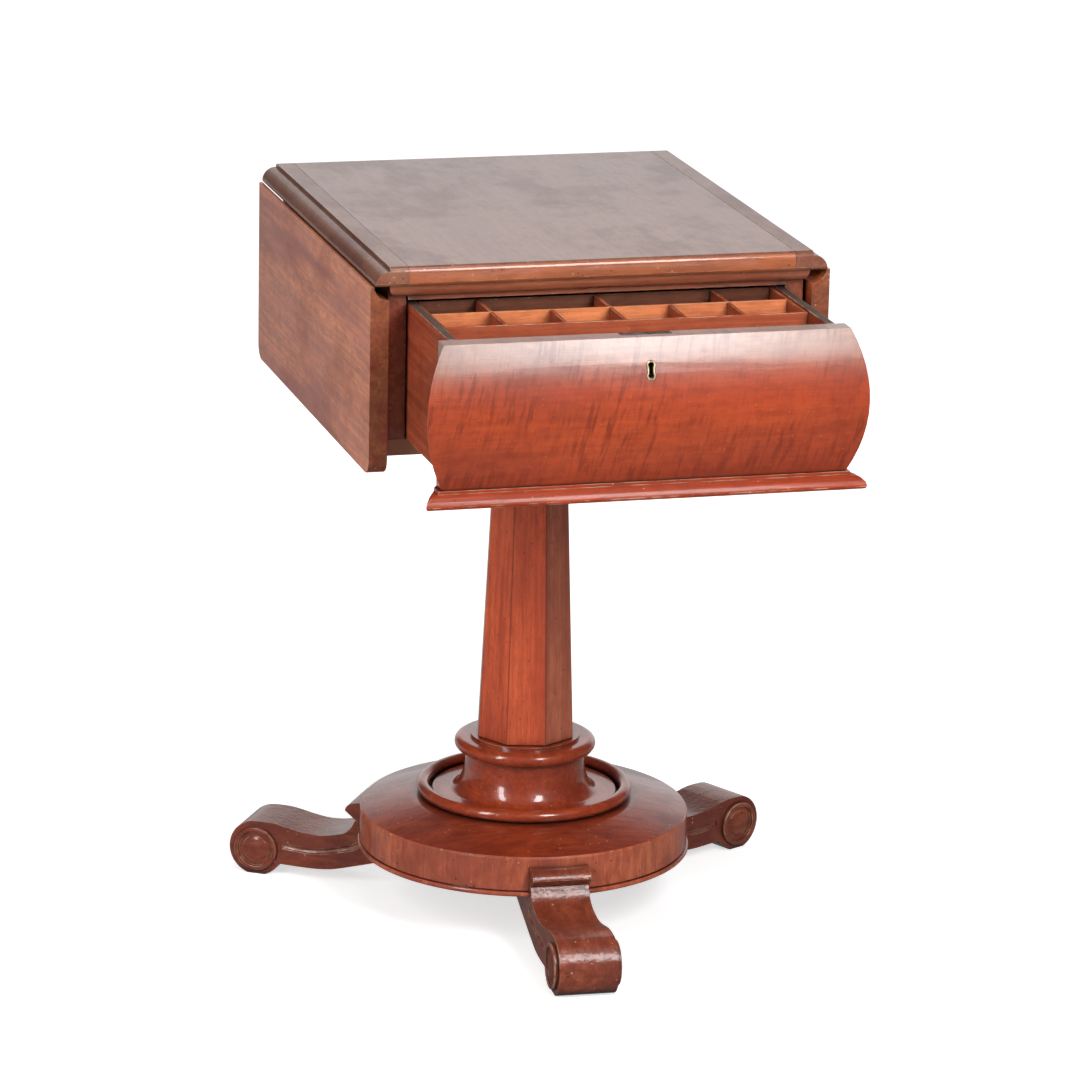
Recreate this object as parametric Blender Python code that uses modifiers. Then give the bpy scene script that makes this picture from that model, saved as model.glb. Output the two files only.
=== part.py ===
"""Drop-leaf pedestal work table: a sewing table with a fitted drawer, on a column and three scroll feet.

Metres, +Z up. The origin is on the floor under the column, and the drawer opens towards -Y.
The drawer stands partly pulled out and both leaves hang down.
"""
import math

import bmesh
import bpy
from mathutils import Matrix, Vector

# Fits
GAP = 0.0003  # between faces that are glued or seated
DRAWER_SIDE_CLEARANCE = 0.0010  # drawer side to carcase side
DRAWER_RUN_CLEARANCE = 0.0005  # drawer side to the board it runs on
DRAWER_STOP_GAP = 0.0006  # closed drawer front to the carcase front
RULE_CLEARANCE = 0.0006  # leaf cove to the rounded edge of the top
PIN_CLEARANCE = 0.0003  # hinge knuckle bore to its pin
BOLT_CLEARANCE = 0.0004  # lock bolt to its slot

# Top and leaves
HEIGHT = 0.740
TOP_WIDTH = 0.426  # between the two fillets
TOP_DEPTH = 0.508  # over the front and back nosings
NOSING = 0.005  # how far the rounded edge runs past the flat of the top
NOSING_HEIGHT = 0.006
RULE_FILLET = 0.004  # upright step at the edge of the top
RULE_RADIUS = 0.0145  # quarter round below the fillet
RULE_STRIP_WIDTH = 0.0180  # lipping that carries the rule joint
LEAF_WIDTH = 0.188  # from the hinge pin to the free edge
LEAF_SETBACK = 0.004  # ends of a leaf inside the nosings
LEAF_CORNER_RADIUS = 0.016
LEAF_EDGE_RADIUS = 0.0058

# Hinges of the leaves
HINGE_INSET = 0.095  # middle of a hinge inside the end of the leaf
HINGE_LENGTH = 0.036
HINGE_THICKNESS = 0.0012
HINGE_LEAF_REACH = 0.040
HINGE_TOP_REACH = 0.016
KNUCKLE_RADIUS = 0.0025
KNUCKLE_GAP = 0.0004
HINGE_PIN_RADIUS = 0.0011
HINGE_LET_IN = 0.0004  # leaf flap to the underside of the leaf
HINGE_NECK = 0.0045  # from the pin to the full width of a flap

# Carcase
CARCASE_INSET = 0.003  # sides of the carcase inside the hinge pins
CARCASE_SETBACK = 0.022  # front and back of the carcase inside the nosings
CARCASE_HEIGHT = 0.1732
SIDE_THICKNESS = 0.0185
BOTTOM_THICKNESS = 0.0165
BACK_THICKNESS = 0.014
RAIL_HEIGHT = 0.0180
RAIL_DEPTH = 0.030
RAIL_MOULDING_HEIGHT = 0.0128
RAIL_MOULDING_PROJECTION = 0.0150
RAIL_MOULDING_OVERHANG = 0.0022  # past the carcase sides
BRACKET_LENGTH = 0.150
BRACKET_HEIGHT = 0.040
BRACKET_RECESS_DEPTH = 0.011
BRACKET_CLEARANCE = 0.003
BRACKET_PIN_RADIUS = 0.003
BRACKET_PIN_LENGTH = 0.012

# Drawer
DRAWER_OPEN = 0.158  # how far it is pulled out at rest
DRAWER_END_ROOM = 0.022  # behind the closed drawer
DRAWER_SIDE_HEIGHT = 0.1355
DRAWER_SIDE_THICKNESS = 0.0085
DRAWER_BACK_THICKNESS = 0.009
DRAWER_BOTTOM_THICKNESS = 0.006
DRAWER_BOTTOM_LIFT = 0.006  # underside of the drawer bottom above the side's lower edge
DRAWER_GROOVE_DEPTH = 0.0035
FRONT_INSET = 0.010  # ends of the front's edges inside the carcase sides
FRONT_HEIGHT = 0.140
FRONT_THICKNESS = 0.0205  # at its upper and lower edges
FRONT_SWELL = 0.0120  # how far the middle of the face stands forward of its edges
FRONT_SPREAD = 0.0177  # how much further out each canted end is at the middle
FRONT_TOP_DROP = 0.0030  # upper edge of the front below the rail
BASE_MOULDING_HEIGHT = 0.0165
BASE_MOULDING_PROJECTION = 0.0130
BASE_MOULDING_END_PROJECTION = 0.0180
BASE_MOULDING_CANT = 0.0175  # how much further in each end is at the back

# Lock
LOCK_WIDTH = 0.050
LOCK_HEIGHT = 0.042
LOCK_DEPTH = 0.0105
BOLT_WIDTH = 0.020
BOLT_THICKNESS = 0.005
BOLT_HEIGHT = 0.024
BOLT_TRAVEL = 0.012
BOLT_SETBACK = 0.0042  # from the back of the drawer front to the bolt
KEYHOLE_DROP = 0.0308  # keyhole centre below the upper edge of the front
KEYHOLE_RADIUS = 0.0029  # of the eye and of the rounded foot
KEYHOLE_WAIST = 0.0042  # width between the two
KEYHOLE_LENGTH = 0.0157
ESCUTCHEON_RIM = 0.0016
ESCUTCHEON_DEPTH = 0.004
ESCUTCHEON_PROUD = 0.0004

# Fitted interior of the drawer
TROUGH_LENGTH = 0.056  # open space behind the drawer front
TRAY_DROP = 0.002  # tray edges below the drawer sides
TRAY_DEPTH = 0.042
TRAY_WALL = 0.0032
TRAY_ROW = 0.0555  # pitch of the cross partitions
FRONT_ROW_PLACES = 6
REAR_ROW_SHARES = (1, 3, 5)  # dividers of the second row, in sixths of its length

# Column and base
COLUMN_FOOT_RADIUS = 0.0531  # to the corners of the octagon
COLUMN_HEAD_RADIUS = 0.0386
COLUMN_TURN = -14.0  # degrees that the octagon stands turned from the front
TENON_RADIUS = 0.016
BLOCK_SIZE = 0.200
BLOCK_THICKNESS = 0.0177
BLOCK_EDGE = 0.004
PLATFORM_RADIUS = 0.1710
PLATFORM_RIM = 0.1015  # height of the rim's upper edge
PLATFORM_THICKNESS = 0.0415  # at the rim
PLATFORM_ARRIS = 0.0015
DOME_RISE = 0.0155  # of the platform's upper face, from the rim to the flat under the ring
SEAT_RADIUS = 0.1125
BEAD_HEIGHT = 0.0055
BEAD_PROJECTION = 0.0022
BEAD_QUIRK = 0.0012  # square groove over the bead
RING_RADIUS = 0.1055
RING_SECTION_RADIUS = 0.0066
RING_FLAT = 0.0005  # cut off the underside of the ring
SOCLE_FOOT_RADIUS = 0.0955
SOCLE_FOOT_HEIGHT = 0.0040
SOCLE_FLARE_RADIUS = 0.0780  # lower end of the hollow
SOCLE_WAIST_RADIUS = 0.0615
SOCLE_FLARE_HEIGHT = 0.0388
COLLAR_RADIUS = 0.0733
COLLAR_HEIGHT = 0.0139
COLLAR_NECK_HEIGHT = 0.0045
COLLAR_FILLET_RADIUS = 0.057
COLLAR_FILLET_HEIGHT = 0.003

# Scroll feet
FOOT_COUNT = 3
FOOT_TURN = -2.8  # degrees that the front foot points off the front
FOOT_WIDTH = 0.061
FOOT_REACH = 0.286  # column axis to the centre of the scroll
SCROLL_RADIUS = 0.0300
SCROLL_WEAR = 0.0016  # flat worn on the underside
FOOT_INNER = 0.092  # inner end of the leg, under the platform
FOOT_WAIST_TOP = 0.0508
FOOT_WAIST_SETBACK = 0.064  # from the scroll's centre in to where the upper edge is lowest
FOOT_NOTCH_HEIGHT = 0.0135
FOOT_BELLY_HEIGHT = 0.0135
LIP_TIP_REACH = 0.0160  # lip beyond the platform's rim
LIP_FLAT = 0.0015  # level part of the lip's upper face
LIP_TIP_HEIGHT = 0.0820
LIP_TOP_HEIGHT = 0.0915
LIP_THROAT_HEIGHT = 0.0725
LIP_ROOT_HEIGHT = 0.0570
FOOT_GROOVE_WIDTH = 0.0062
FOOT_GROOVE_DEPTH = 0.0022
FOOT_GROOVE_START = 0.0068  # from the roundel to the groove
ROUNDEL_RADIUS = 0.0236
ROUNDEL_RIM = 0.0050
ROUNDEL_THICKNESS = 0.0042
ROUNDEL_RECESS = 0.0030
ROUNDEL_BUTTON_RADIUS = 0.0138

# Facets
ARC_STEPS = 6
TURN_STEPS = 44
SMALL_TURN_STEPS = 18
PIN_STEPS = 12

# Heights and half widths that several pieces share
TOP_THICKNESS = RULE_FILLET + RULE_RADIUS
TOP_UNDERSIDE = HEIGHT - TOP_THICKNESS
PIN_X = TOP_WIDTH / 2
LEAF_LENGTH = TOP_DEPTH - 2 * LEAF_SETBACK
HINGE_SPACING = LEAF_LENGTH - 2 * HINGE_INSET
CARCASE_WIDTH = TOP_WIDTH - 2 * CARCASE_INSET
CARCASE_DEPTH = TOP_DEPTH - 2 * CARCASE_SETBACK
CARCASE_TOP = TOP_UNDERSIDE - GAP
CARCASE_BASE = CARCASE_TOP - CARCASE_HEIGHT
CARCASE_FRONT = -CARCASE_DEPTH / 2
RUNNING_FACE = CARCASE_BASE + BOTTOM_THICKNESS
SIDE_INNER = CARCASE_WIDTH / 2 - SIDE_THICKNESS
RAIL_MOULDING_WIDTH = CARCASE_WIDTH + 2 * RAIL_MOULDING_OVERHANG
FRONT_WIDTH = CARCASE_WIDTH - 2 * FRONT_INSET
DRAWER_LENGTH = CARCASE_DEPTH - BACK_THICKNESS - DRAWER_END_ROOM
RAIL_BASE = CARCASE_TOP - RAIL_HEIGHT
DRAWER_OUTER = SIDE_INNER - DRAWER_SIDE_CLEARANCE
DRAWER_INNER = DRAWER_OUTER - DRAWER_SIDE_THICKNESS
DRAWER_BASE = RUNNING_FACE + DRAWER_RUN_CLEARANCE
DRAWER_TOP = DRAWER_BASE + DRAWER_SIDE_HEIGHT
FRONT_BACK = CARCASE_FRONT - DRAWER_STOP_GAP
FRONT_EDGE = FRONT_BACK - FRONT_THICKNESS
FRONT_TOP = RAIL_BASE - FRONT_TOP_DROP
FRONT_BASE = FRONT_TOP - FRONT_HEIGHT
DRAWER_END = FRONT_BACK + DRAWER_LENGTH
DRAWER_FLOOR = DRAWER_BASE + DRAWER_BOTTOM_LIFT + DRAWER_BOTTOM_THICKNESS
TRAY_TOP = DRAWER_TOP - TRAY_DROP
TRAY_BASE = TRAY_TOP - TRAY_DEPTH
TRAY_INNER = DRAWER_INNER - GAP - TRAY_WALL
TRAY_START = FRONT_BACK + TROUGH_LENGTH
BLOCK_BASE = CARCASE_BASE - GAP - BLOCK_THICKNESS
PLATFORM_BASE = PLATFORM_RIM - PLATFORM_THICKNESS
SEAT_HEIGHT = PLATFORM_RIM + DOME_RISE
SOCLE_BASE = SEAT_HEIGHT + GAP
FLARE_TOP = SOCLE_BASE + SOCLE_FOOT_HEIGHT + SOCLE_FLARE_HEIGHT
COLLAR_BASE = FLARE_TOP + COLLAR_NECK_HEIGHT
SOCLE_TOP = COLLAR_BASE + COLLAR_HEIGHT + COLLAR_FILLET_HEIGHT
COLUMN_FOOT = SOCLE_TOP + GAP
COLUMN_HEAD = BLOCK_BASE - GAP
BORE_RADIUS = TENON_RADIUS + GAP
SCROLL_HEIGHT = SCROLL_RADIUS - SCROLL_WEAR
LIP_FACE = PLATFORM_RADIUS + GAP
FOOT_WAIST_RADIUS = FOOT_REACH - FOOT_WAIST_SETBACK

MAHOGANY = ("mahogany", (0.30, 0.075, 0.035), 0.28, 0.0)
FIGURED = ("figured_mahogany", (0.38, 0.095, 0.04), 0.25, 0.0)
CEDAR = ("interior_wood", (0.42, 0.16, 0.075), 0.55, 0.0)
CARCASE_WOOD = ("carcase_wood", (0.24, 0.085, 0.045), 0.5, 0.0)
BRASS = ("brass", (0.66, 0.50, 0.25), 0.35, 1.0)
IRON = ("iron", (0.20, 0.19, 0.18), 0.5, 1.0)


def new_collection(name):
    """A collection linked to the scene."""
    collection = bpy.data.collections.new(name)
    bpy.context.scene.collection.children.link(collection)
    return collection


def get_material(finish):
    """The Principled material for one finish."""
    name, colour, roughness, metallic = finish
    material = bpy.data.materials.get(name)
    if material is None:
        material = bpy.data.materials.new(name)
        material.use_nodes = True
        shader = material.node_tree.nodes["Principled BSDF"]
        shader.inputs["Base Color"].default_value = (*colour, 1.0)
        shader.inputs["Roughness"].default_value = roughness
        shader.inputs["Metallic"].default_value = metallic
        material.diffuse_color = (*colour, 1.0)
    return material


def add_part(name, mesh, finish, parent=None, turn=0.0):
    """One named piece; a parent empty carries it, and turn spins it about the column axis."""
    if not mesh.materials:
        mesh.materials.append(get_material(finish))
    piece = bpy.data.objects.new(name, mesh)
    bpy.data.collections["work_table"].objects.link(piece)
    piece.rotation_euler[2] = math.radians(turn)
    if parent is not None:
        piece.parent = parent
    return piece


def add_axis(name, place):
    """An empty on a joint's axis; the pieces of that joint are its children."""
    axis = bpy.data.objects.new(name, None)
    axis.location = place
    axis.empty_display_size = 0.05
    bpy.data.collections["work_table"].objects.link(axis)
    return axis


def finish_mesh(bm, name):
    """Close a bmesh into a mesh with its faces pointing out."""
    bmesh.ops.recalc_face_normals(bm, faces=bm.faces)
    mesh = bpy.data.meshes.new(name)
    bm.to_mesh(mesh)
    bm.free()
    mesh.shade_smooth()
    mesh.set_sharp_from_angle(angle=math.radians(35))
    return mesh


def box(low, high):
    """A box between two corners."""
    low = Vector(low)
    high = Vector(high)
    bm = bmesh.new()
    bmesh.ops.create_cube(bm, size=1.0)
    bmesh.ops.scale(bm, vec=high - low, verts=bm.verts)
    bmesh.ops.translate(bm, vec=(low + high) / 2, verts=bm.verts)
    return finish_mesh(bm, "box")


def rod(start, end, radius, steps=PIN_STEPS, end_radius=None):
    """A round bar, or a cone when the far end has its own radius."""
    start = Vector(start)
    end = Vector(end)
    along = end - start
    bm = bmesh.new()
    far_radius = radius if end_radius is None else end_radius
    bmesh.ops.create_cone(
        bm, cap_ends=True, segments=steps, radius1=radius, radius2=far_radius, depth=along.length
    )
    turn = along.to_track_quat("Z", "Y").to_matrix().to_4x4()
    bmesh.ops.transform(bm, matrix=Matrix.Translation((start + end) / 2) @ turn, verts=bm.verts)
    return finish_mesh(bm, "rod")


def evaluated_mesh(source):
    """The mesh of an object with its modifiers applied; the object is removed."""
    depsgraph = bpy.context.evaluated_depsgraph_get()
    mesh = bpy.data.meshes.new_from_object(source.evaluated_get(depsgraph))
    bpy.data.objects.remove(source)
    return mesh


def welded_mesh(curve, matrix):
    """The mesh of a curve with its caps welded on, placed by a matrix; the curve is removed."""
    source = bpy.data.objects.new("outline", curve)
    bpy.data.collections["cutters"].objects.link(source)
    loose = evaluated_mesh(source)
    bpy.data.curves.remove(curve)
    bm = bmesh.new()
    bm.from_mesh(loose)
    bpy.data.meshes.remove(loose)
    bmesh.ops.remove_doubles(bm, verts=bm.verts, dist=0.000005)
    bmesh.ops.transform(bm, matrix=matrix, verts=bm.verts)
    return finish_mesh(bm, "outline")


def bar(points, radius):
    """A round bar along a line of points."""
    curve = bpy.data.curves.new("line", "CURVE")
    curve.dimensions = "3D"
    curve.bevel_depth = radius
    curve.bevel_resolution = 3
    curve.use_fill_caps = True
    spline = curve.splines.new("POLY")
    spline.points.add(len(points) - 1)
    for point, place in zip(spline.points, points):
        point.co = (*place, 1.0)
    return welded_mesh(curve, Matrix.Identity(4))


def prism(outline, plane, low, high):
    """A flat outline in the XY, YZ or XZ plane, given thickness from low to high on the other axis."""
    curve = bpy.data.curves.new("outline", "CURVE")
    curve.dimensions = "2D"
    curve.fill_mode = "BOTH"
    curve.extrude = (high - low) / 2
    spline = curve.splines.new("POLY")
    spline.points.add(len(outline) - 1)
    for point, (across, up) in zip(spline.points, outline):
        point.co = (across, up, 0.0, 1.0)
    spline.use_cyclic_u = True
    middle = (low + high) / 2
    frames = {
        "XY": Matrix(((1, 0, 0, 0), (0, 1, 0, 0), (0, 0, 1, middle), (0, 0, 0, 1))),
        "YZ": Matrix(((0, 0, 1, middle), (1, 0, 0, 0), (0, 1, 0, 0), (0, 0, 0, 1))),
        "XZ": Matrix(((1, 0, 0, 0), (0, 0, -1, middle), (0, 1, 0, 0), (0, 0, 0, 1))),
    }
    return welded_mesh(curve, frames[plane])


def turned(profile, closed, steps=TURN_STEPS):
    """A profile of (radius, height) points, from the top down its outer side, spun about Z."""
    bm = bmesh.new()
    points = [bm.verts.new((radius, 0.0, height)) for radius, height in profile]
    pairs = list(zip(points, points[1:]))
    if closed:
        pairs.append((points[-1], points[0]))
    for pair in pairs:
        bm.edges.new(pair)
    mesh = bpy.data.meshes.new("profile")
    bm.to_mesh(mesh)
    bm.free()
    source = bpy.data.objects.new("profile", mesh)
    bpy.data.collections["cutters"].objects.link(source)
    screw = source.modifiers.new("spin", "SCREW")
    screw.steps = steps
    screw.render_steps = steps
    screw.use_merge_vertices = True
    screw.merge_threshold = 0.00001
    spun = evaluated_mesh(source)
    bpy.data.meshes.remove(mesh)
    spun.set_sharp_from_angle(angle=math.radians(35))
    return spun


def combine(mesh, tools, operation):
    """Cut, keep or join a mesh with each tool mesh in turn."""
    for tool in tools:
        target = bpy.data.objects.new("target", mesh)
        cutter = bpy.data.objects.new("cutter", tool)
        for item in (target, cutter):
            bpy.data.collections["cutters"].objects.link(item)
            item.hide_render = True
            item.display_type = "WIRE"
        boolean = target.modifiers.new(operation.lower(), "BOOLEAN")
        boolean.operation = operation
        boolean.solver = "EXACT"
        boolean.object = cutter
        mesh = evaluated_mesh(target)
        bpy.data.objects.remove(cutter)
    return mesh


def cut(mesh, *tools):
    return combine(mesh, tools, "DIFFERENCE")


def keep_common(mesh, *tools):
    return combine(mesh, tools, "INTERSECT")


def join(mesh, *tools):
    return combine(mesh, tools, "UNION")


def in_triangles(mesh):
    """The mesh with its long many-sided faces split, so that a further cut stays closed."""
    bm = bmesh.new()
    bm.from_mesh(mesh)
    bmesh.ops.triangulate(bm, faces=bm.faces)
    bm.to_mesh(mesh)
    bm.free()
    return mesh


def rounded_edges(mesh, width, segments):
    """The mesh with its sharp edges rounded over."""
    source = bpy.data.objects.new("rounded", mesh)
    bpy.data.collections["cutters"].objects.link(source)
    bevel = source.modifiers.new("edges", "BEVEL")
    bevel.width = width
    bevel.segments = segments
    bevel.limit_method = "ANGLE"
    bevel.angle_limit = math.radians(60)
    return evaluated_mesh(source)


def moved(mesh, matrix):
    """The mesh, placed by a matrix."""
    mesh.transform(matrix)
    return mesh


def arc(centre, radius, start, end, steps=ARC_STEPS):
    """Points round part of a circle, or of an ellipse when radius is a pair; angles in degrees."""
    across, up = radius if isinstance(radius, tuple) else (radius, radius)
    angles = [math.radians(start + (end - start) * step / steps) for step in range(steps + 1)]
    return [(centre[0] + across * math.cos(angle), centre[1] + up * math.sin(angle)) for angle in angles]


def mirrored(points):
    """Points for the other side of a symmetric outline, in reverse order."""
    return [(-across, up) for across, up in reversed(points)]


def smooth_line(points, steps):
    """A smooth line through a few points."""
    padded = [points[0], *points, points[-1]]
    line = []
    for before, start, end, after in zip(padded, padded[1:], padded[2:], padded[3:]):
        for step in range(steps):
            t = step / steps
            line.append(tuple(
                0.5 * (2 * b + (c - a) * t + (2 * a - 5 * b + 4 * c - d) * t ** 2
                       + (3 * b - a - 3 * c + d) * t ** 3)
                for a, b, c, d in zip(before, start, end, after)
            ))
    return line + [points[-1]]


def dome_height(radius):
    """Height of the platform's upper face at a distance from the column axis."""
    return PLATFORM_RIM + DOME_RISE * (PLATFORM_RADIUS ** 2 - radius ** 2) / (
        PLATFORM_RADIUS ** 2 - SEAT_RADIUS ** 2
    )


def platform_mesh():
    rim = PLATFORM_RADIUS - PLATFORM_ARRIS
    dome = [SEAT_RADIUS + (rim - SEAT_RADIUS) * step / ARC_STEPS for step in range(ARC_STEPS + 1)]
    bead = arc(
        (PLATFORM_RADIUS, PLATFORM_BASE + BEAD_HEIGHT / 2), (BEAD_PROJECTION, BEAD_HEIGHT / 2), 90, -90
    )
    profile = [(BORE_RADIUS, SEAT_HEIGHT)]
    profile += [(radius, dome_height(radius)) for radius in dome]
    bead_top = PLATFORM_BASE + BEAD_HEIGHT
    profile += [
        (PLATFORM_RADIUS, PLATFORM_RIM - PLATFORM_ARRIS),
        (PLATFORM_RADIUS, bead_top + BEAD_QUIRK),
        (PLATFORM_RADIUS - BEAD_QUIRK, bead_top + BEAD_QUIRK),
        (PLATFORM_RADIUS - BEAD_QUIRK, bead_top),
    ]
    profile += [*bead, (BORE_RADIUS, PLATFORM_BASE)]
    return turned(profile, closed=True)


def ring_mesh():
    """A round ring with a narrow flat on its underside."""
    base = SEAT_HEIGHT + GAP
    middle = base + RING_SECTION_RADIUS - RING_FLAT
    flat_angle = math.degrees(math.asin(1 - RING_FLAT / RING_SECTION_RADIUS))
    section = arc((RING_RADIUS, middle), RING_SECTION_RADIUS, 180 + flat_angle, -flat_angle, 2 * ARC_STEPS)
    return turned(section, closed=True)


def socle_mesh():
    flare_base = SOCLE_BASE + SOCLE_FOOT_HEIGHT
    collar_middle = COLLAR_BASE + COLLAR_HEIGHT / 2
    roll = COLLAR_HEIGHT / 2
    profile = [
        (BORE_RADIUS, SOCLE_TOP),
        (COLLAR_FILLET_RADIUS, SOCLE_TOP),
        (COLLAR_FILLET_RADIUS, SOCLE_TOP - COLLAR_FILLET_HEIGHT),
    ]
    profile += arc((COLLAR_RADIUS - roll, collar_middle), roll, 90, -90, ARC_STEPS + 2)
    profile += [(SOCLE_WAIST_RADIUS, COLLAR_BASE)]
    flare = SOCLE_FLARE_RADIUS - SOCLE_WAIST_RADIUS
    profile += arc((SOCLE_FLARE_RADIUS, FLARE_TOP), (flare, SOCLE_FLARE_HEIGHT), 180, 270, ARC_STEPS + 2)
    profile += [(SOCLE_FOOT_RADIUS, flare_base), (SOCLE_FOOT_RADIUS, SOCLE_BASE), (BORE_RADIUS, SOCLE_BASE)]
    return turned(profile, closed=True)


def column_mesh():
    """A tapered octagon with a round tenon at each end."""
    shaft = rod(
        (0, 0, COLUMN_FOOT), (0, 0, COLUMN_HEAD), COLUMN_FOOT_RADIUS, 8, end_radius=COLUMN_HEAD_RADIUS
    )
    half_facet = 360 / 16
    shaft = moved(shaft, Matrix.Rotation(math.radians(COLUMN_TURN + half_facet), 4, "Z"))
    tenon_base = PLATFORM_BASE + GAP
    tenon_top = RUNNING_FACE - 4 * GAP
    return join(shaft, rod((0, 0, tenon_base), (0, 0, tenon_top), TENON_RADIUS, SMALL_TURN_STEPS))


def foot_outline():
    """The side view of a scroll foot: (distance from the column axis, height)."""
    scroll = (FOOT_REACH, SCROLL_HEIGHT)
    scroll_top = SCROLL_HEIGHT + SCROLL_RADIUS
    nose = (LIP_TIP_REACH - LIP_FLAT, LIP_TOP_HEIGHT - LIP_TIP_HEIGHT)
    lip = arc((LIP_FACE + LIP_FLAT, LIP_TIP_HEIGHT), nose, 90, 0, 4)
    throat = (LIP_FACE + 0.25 * LIP_TIP_REACH, LIP_THROAT_HEIGHT)
    root = (LIP_FACE + LIP_TIP_REACH, LIP_ROOT_HEIGHT)
    waist = (FOOT_WAIST_RADIUS, FOOT_WAIST_TOP)
    shoulder = (FOOT_REACH - 0.8 * SCROLL_RADIUS, scroll_top - 0.035 * SCROLL_RADIUS)
    saddle = smooth_line([throat, root, waist, shoulder], ARC_STEPS)
    wear_angle = math.degrees(math.asin(SCROLL_HEIGHT / SCROLL_RADIUS))
    roll = arc(scroll, SCROLL_RADIUS, 90, -wear_angle, 3 * ARC_STEPS)
    notch_angle = math.degrees(math.asin((SCROLL_HEIGHT - FOOT_NOTCH_HEIGHT) / SCROLL_RADIUS))
    heel = arc(scroll, SCROLL_RADIUS, -180 + wear_angle, -180 + notch_angle, 3)
    belly = (FOOT_REACH - 2.5 * SCROLL_RADIUS, FOOT_BELLY_HEIGHT)
    rise = (LIP_FACE, FOOT_BELLY_HEIGHT + 0.3 * SCROLL_RADIUS)
    inner_low = (FOOT_INNER, (FOOT_BELLY_HEIGHT + PLATFORM_BASE) / 2 + 0.3 * SCROLL_RADIUS)
    underside = smooth_line([heel[-1], belly, rise, inner_low], ARC_STEPS)
    outline = [*lip, *saddle, *roll, *heel, *underside[1:]]
    return outline + [(FOOT_INNER, PLATFORM_RIM), (PLATFORM_RADIUS - SCROLL_RADIUS, LIP_TOP_HEIGHT)]


def foot_groove(side):
    """A round bar that cuts the groove along one flank, from the roundel to the platform; side is 1 or -1."""
    start = FOOT_REACH - ROUNDEL_RADIUS - FOOT_GROOVE_START
    middle = (FOOT_WAIST_TOP + FOOT_BELLY_HEIGHT) / 2
    bend = LIP_FACE + 0.2 * (FOOT_WAIST_RADIUS - LIP_FACE)
    line = smooth_line(
        [(start, SCROLL_HEIGHT + 0.19 * SCROLL_RADIUS), (FOOT_WAIST_RADIUS, middle),
         (bend, middle + 0.28 * SCROLL_RADIUS),
         (LIP_FACE - BEAD_PROJECTION, PLATFORM_BASE - 2 * FOOT_GROOVE_WIDTH)],
        ARC_STEPS,
    )
    radius = (FOOT_GROOVE_WIDTH ** 2 / 4 + FOOT_GROOVE_DEPTH ** 2) / (2 * FOOT_GROOVE_DEPTH)
    across = side * (FOOT_WIDTH / 2 + radius - FOOT_GROOVE_DEPTH)
    return bar([(reach, across, height) for reach, height in line], radius)


def foot_mesh():
    """A foot along +X, cut to the round of the platform, with a groove along each flank."""
    foot = prism(foot_outline(), "XZ", -FOOT_WIDTH / 2, FOOT_WIDTH / 2)
    bead = arc(
        (LIP_FACE, PLATFORM_BASE + BEAD_HEIGHT / 2), (BEAD_PROJECTION, BEAD_HEIGHT / 2 + GAP), 90, -90
    )
    bed = turned([(0, HEIGHT), (LIP_FACE, HEIGHT), *bead, (0, PLATFORM_BASE - GAP)], False, 2 * TURN_STEPS)
    grooved = in_triangles(cut(foot, foot_groove(1), foot_groove(-1)))
    return cut(grooved, bed)


def roundel_mesh():
    """A turned button with a raised rim, seated on the side of the scroll and facing +Y."""
    dome = arc(
        (0, ROUNDEL_THICKNESS - ROUNDEL_RECESS), (ROUNDEL_BUTTON_RADIUS, ROUNDEL_RECESS), 90, 0, 4
    )
    rim = ROUNDEL_RADIUS - ROUNDEL_RIM
    crown = arc((rim + ROUNDEL_RIM / 2, ROUNDEL_THICKNESS - ROUNDEL_RIM / 4),
                (ROUNDEL_RIM / 2, ROUNDEL_RIM / 4), 180, 0, 4)
    profile = [*dome, (rim, ROUNDEL_THICKNESS - ROUNDEL_RECESS), *crown[1:], (ROUNDEL_RADIUS, 0), (0, 0)]
    button = turned(profile, closed=False, steps=SMALL_TURN_STEPS)
    stand = Matrix.Translation((FOOT_REACH, FOOT_WIDTH / 2 + GAP, SCROLL_HEIGHT))
    return moved(button, stand @ Matrix.Rotation(math.radians(-90), 4, "X"))


def build_base():
    add_part("platform", platform_mesh(), MAHOGANY)
    add_part("platform_ring", ring_mesh(), MAHOGANY)
    add_part("socle", socle_mesh(), MAHOGANY)
    add_part("column", column_mesh(), FIGURED)
    foot = foot_mesh()
    roundel = roundel_mesh()
    other_side = roundel.copy()
    other_side.transform(Matrix.Translation((2 * FOOT_REACH, 0, 0)) @ Matrix.Rotation(math.pi, 4, "Z"))
    for index in range(FOOT_COUNT):
        place = ("front", "right", "left")[index] if FOOT_COUNT == 3 else str(index + 1)
        turn = FOOT_TURN - 90 + 360 / FOOT_COUNT * index
        add_part(f"foot_{place}", foot, MAHOGANY, turn=turn)
        add_part(f"foot_{place}_roundel_left", other_side, MAHOGANY, turn=turn)
        add_part(f"foot_{place}_roundel_right", roundel, MAHOGANY, turn=turn)


def returned_moulding(edge, back, front, half_width, end_reach, base, cant):
    """A strip whose edge profile runs along the front and returns round both ends.

    The edge is a list of (projection, height) points from the lower to the upper arris. The ends
    lean inwards towards the back by the cant.
    """
    sign = 1 if front > back else -1
    reach = abs(front - back)
    deepest = max(share for share, _ in edge)
    side = [(back + sign * (reach - (deepest - share)), base + height) for share, height in edge]
    top = side[-1][1]
    section = [(back, base + edge[0][1]), *side, (back, top)]
    ends = [(half_width + end_reach * share / deepest, base + height) for share, height in edge]
    strip = prism(section, "YZ", -2 * half_width, 2 * half_width)
    widest = half_width + end_reach
    corners = [(widest - cant, back), (widest, front), (widest, front + sign * reach)]
    return keep_common(
        strip,
        prism([*ends, *mirrored(ends)], "XZ", min(back, front) - reach, max(back, front) + reach),
        prism([*corners, *mirrored(corners)], "XY", base - reach, top + reach),
    )


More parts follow.
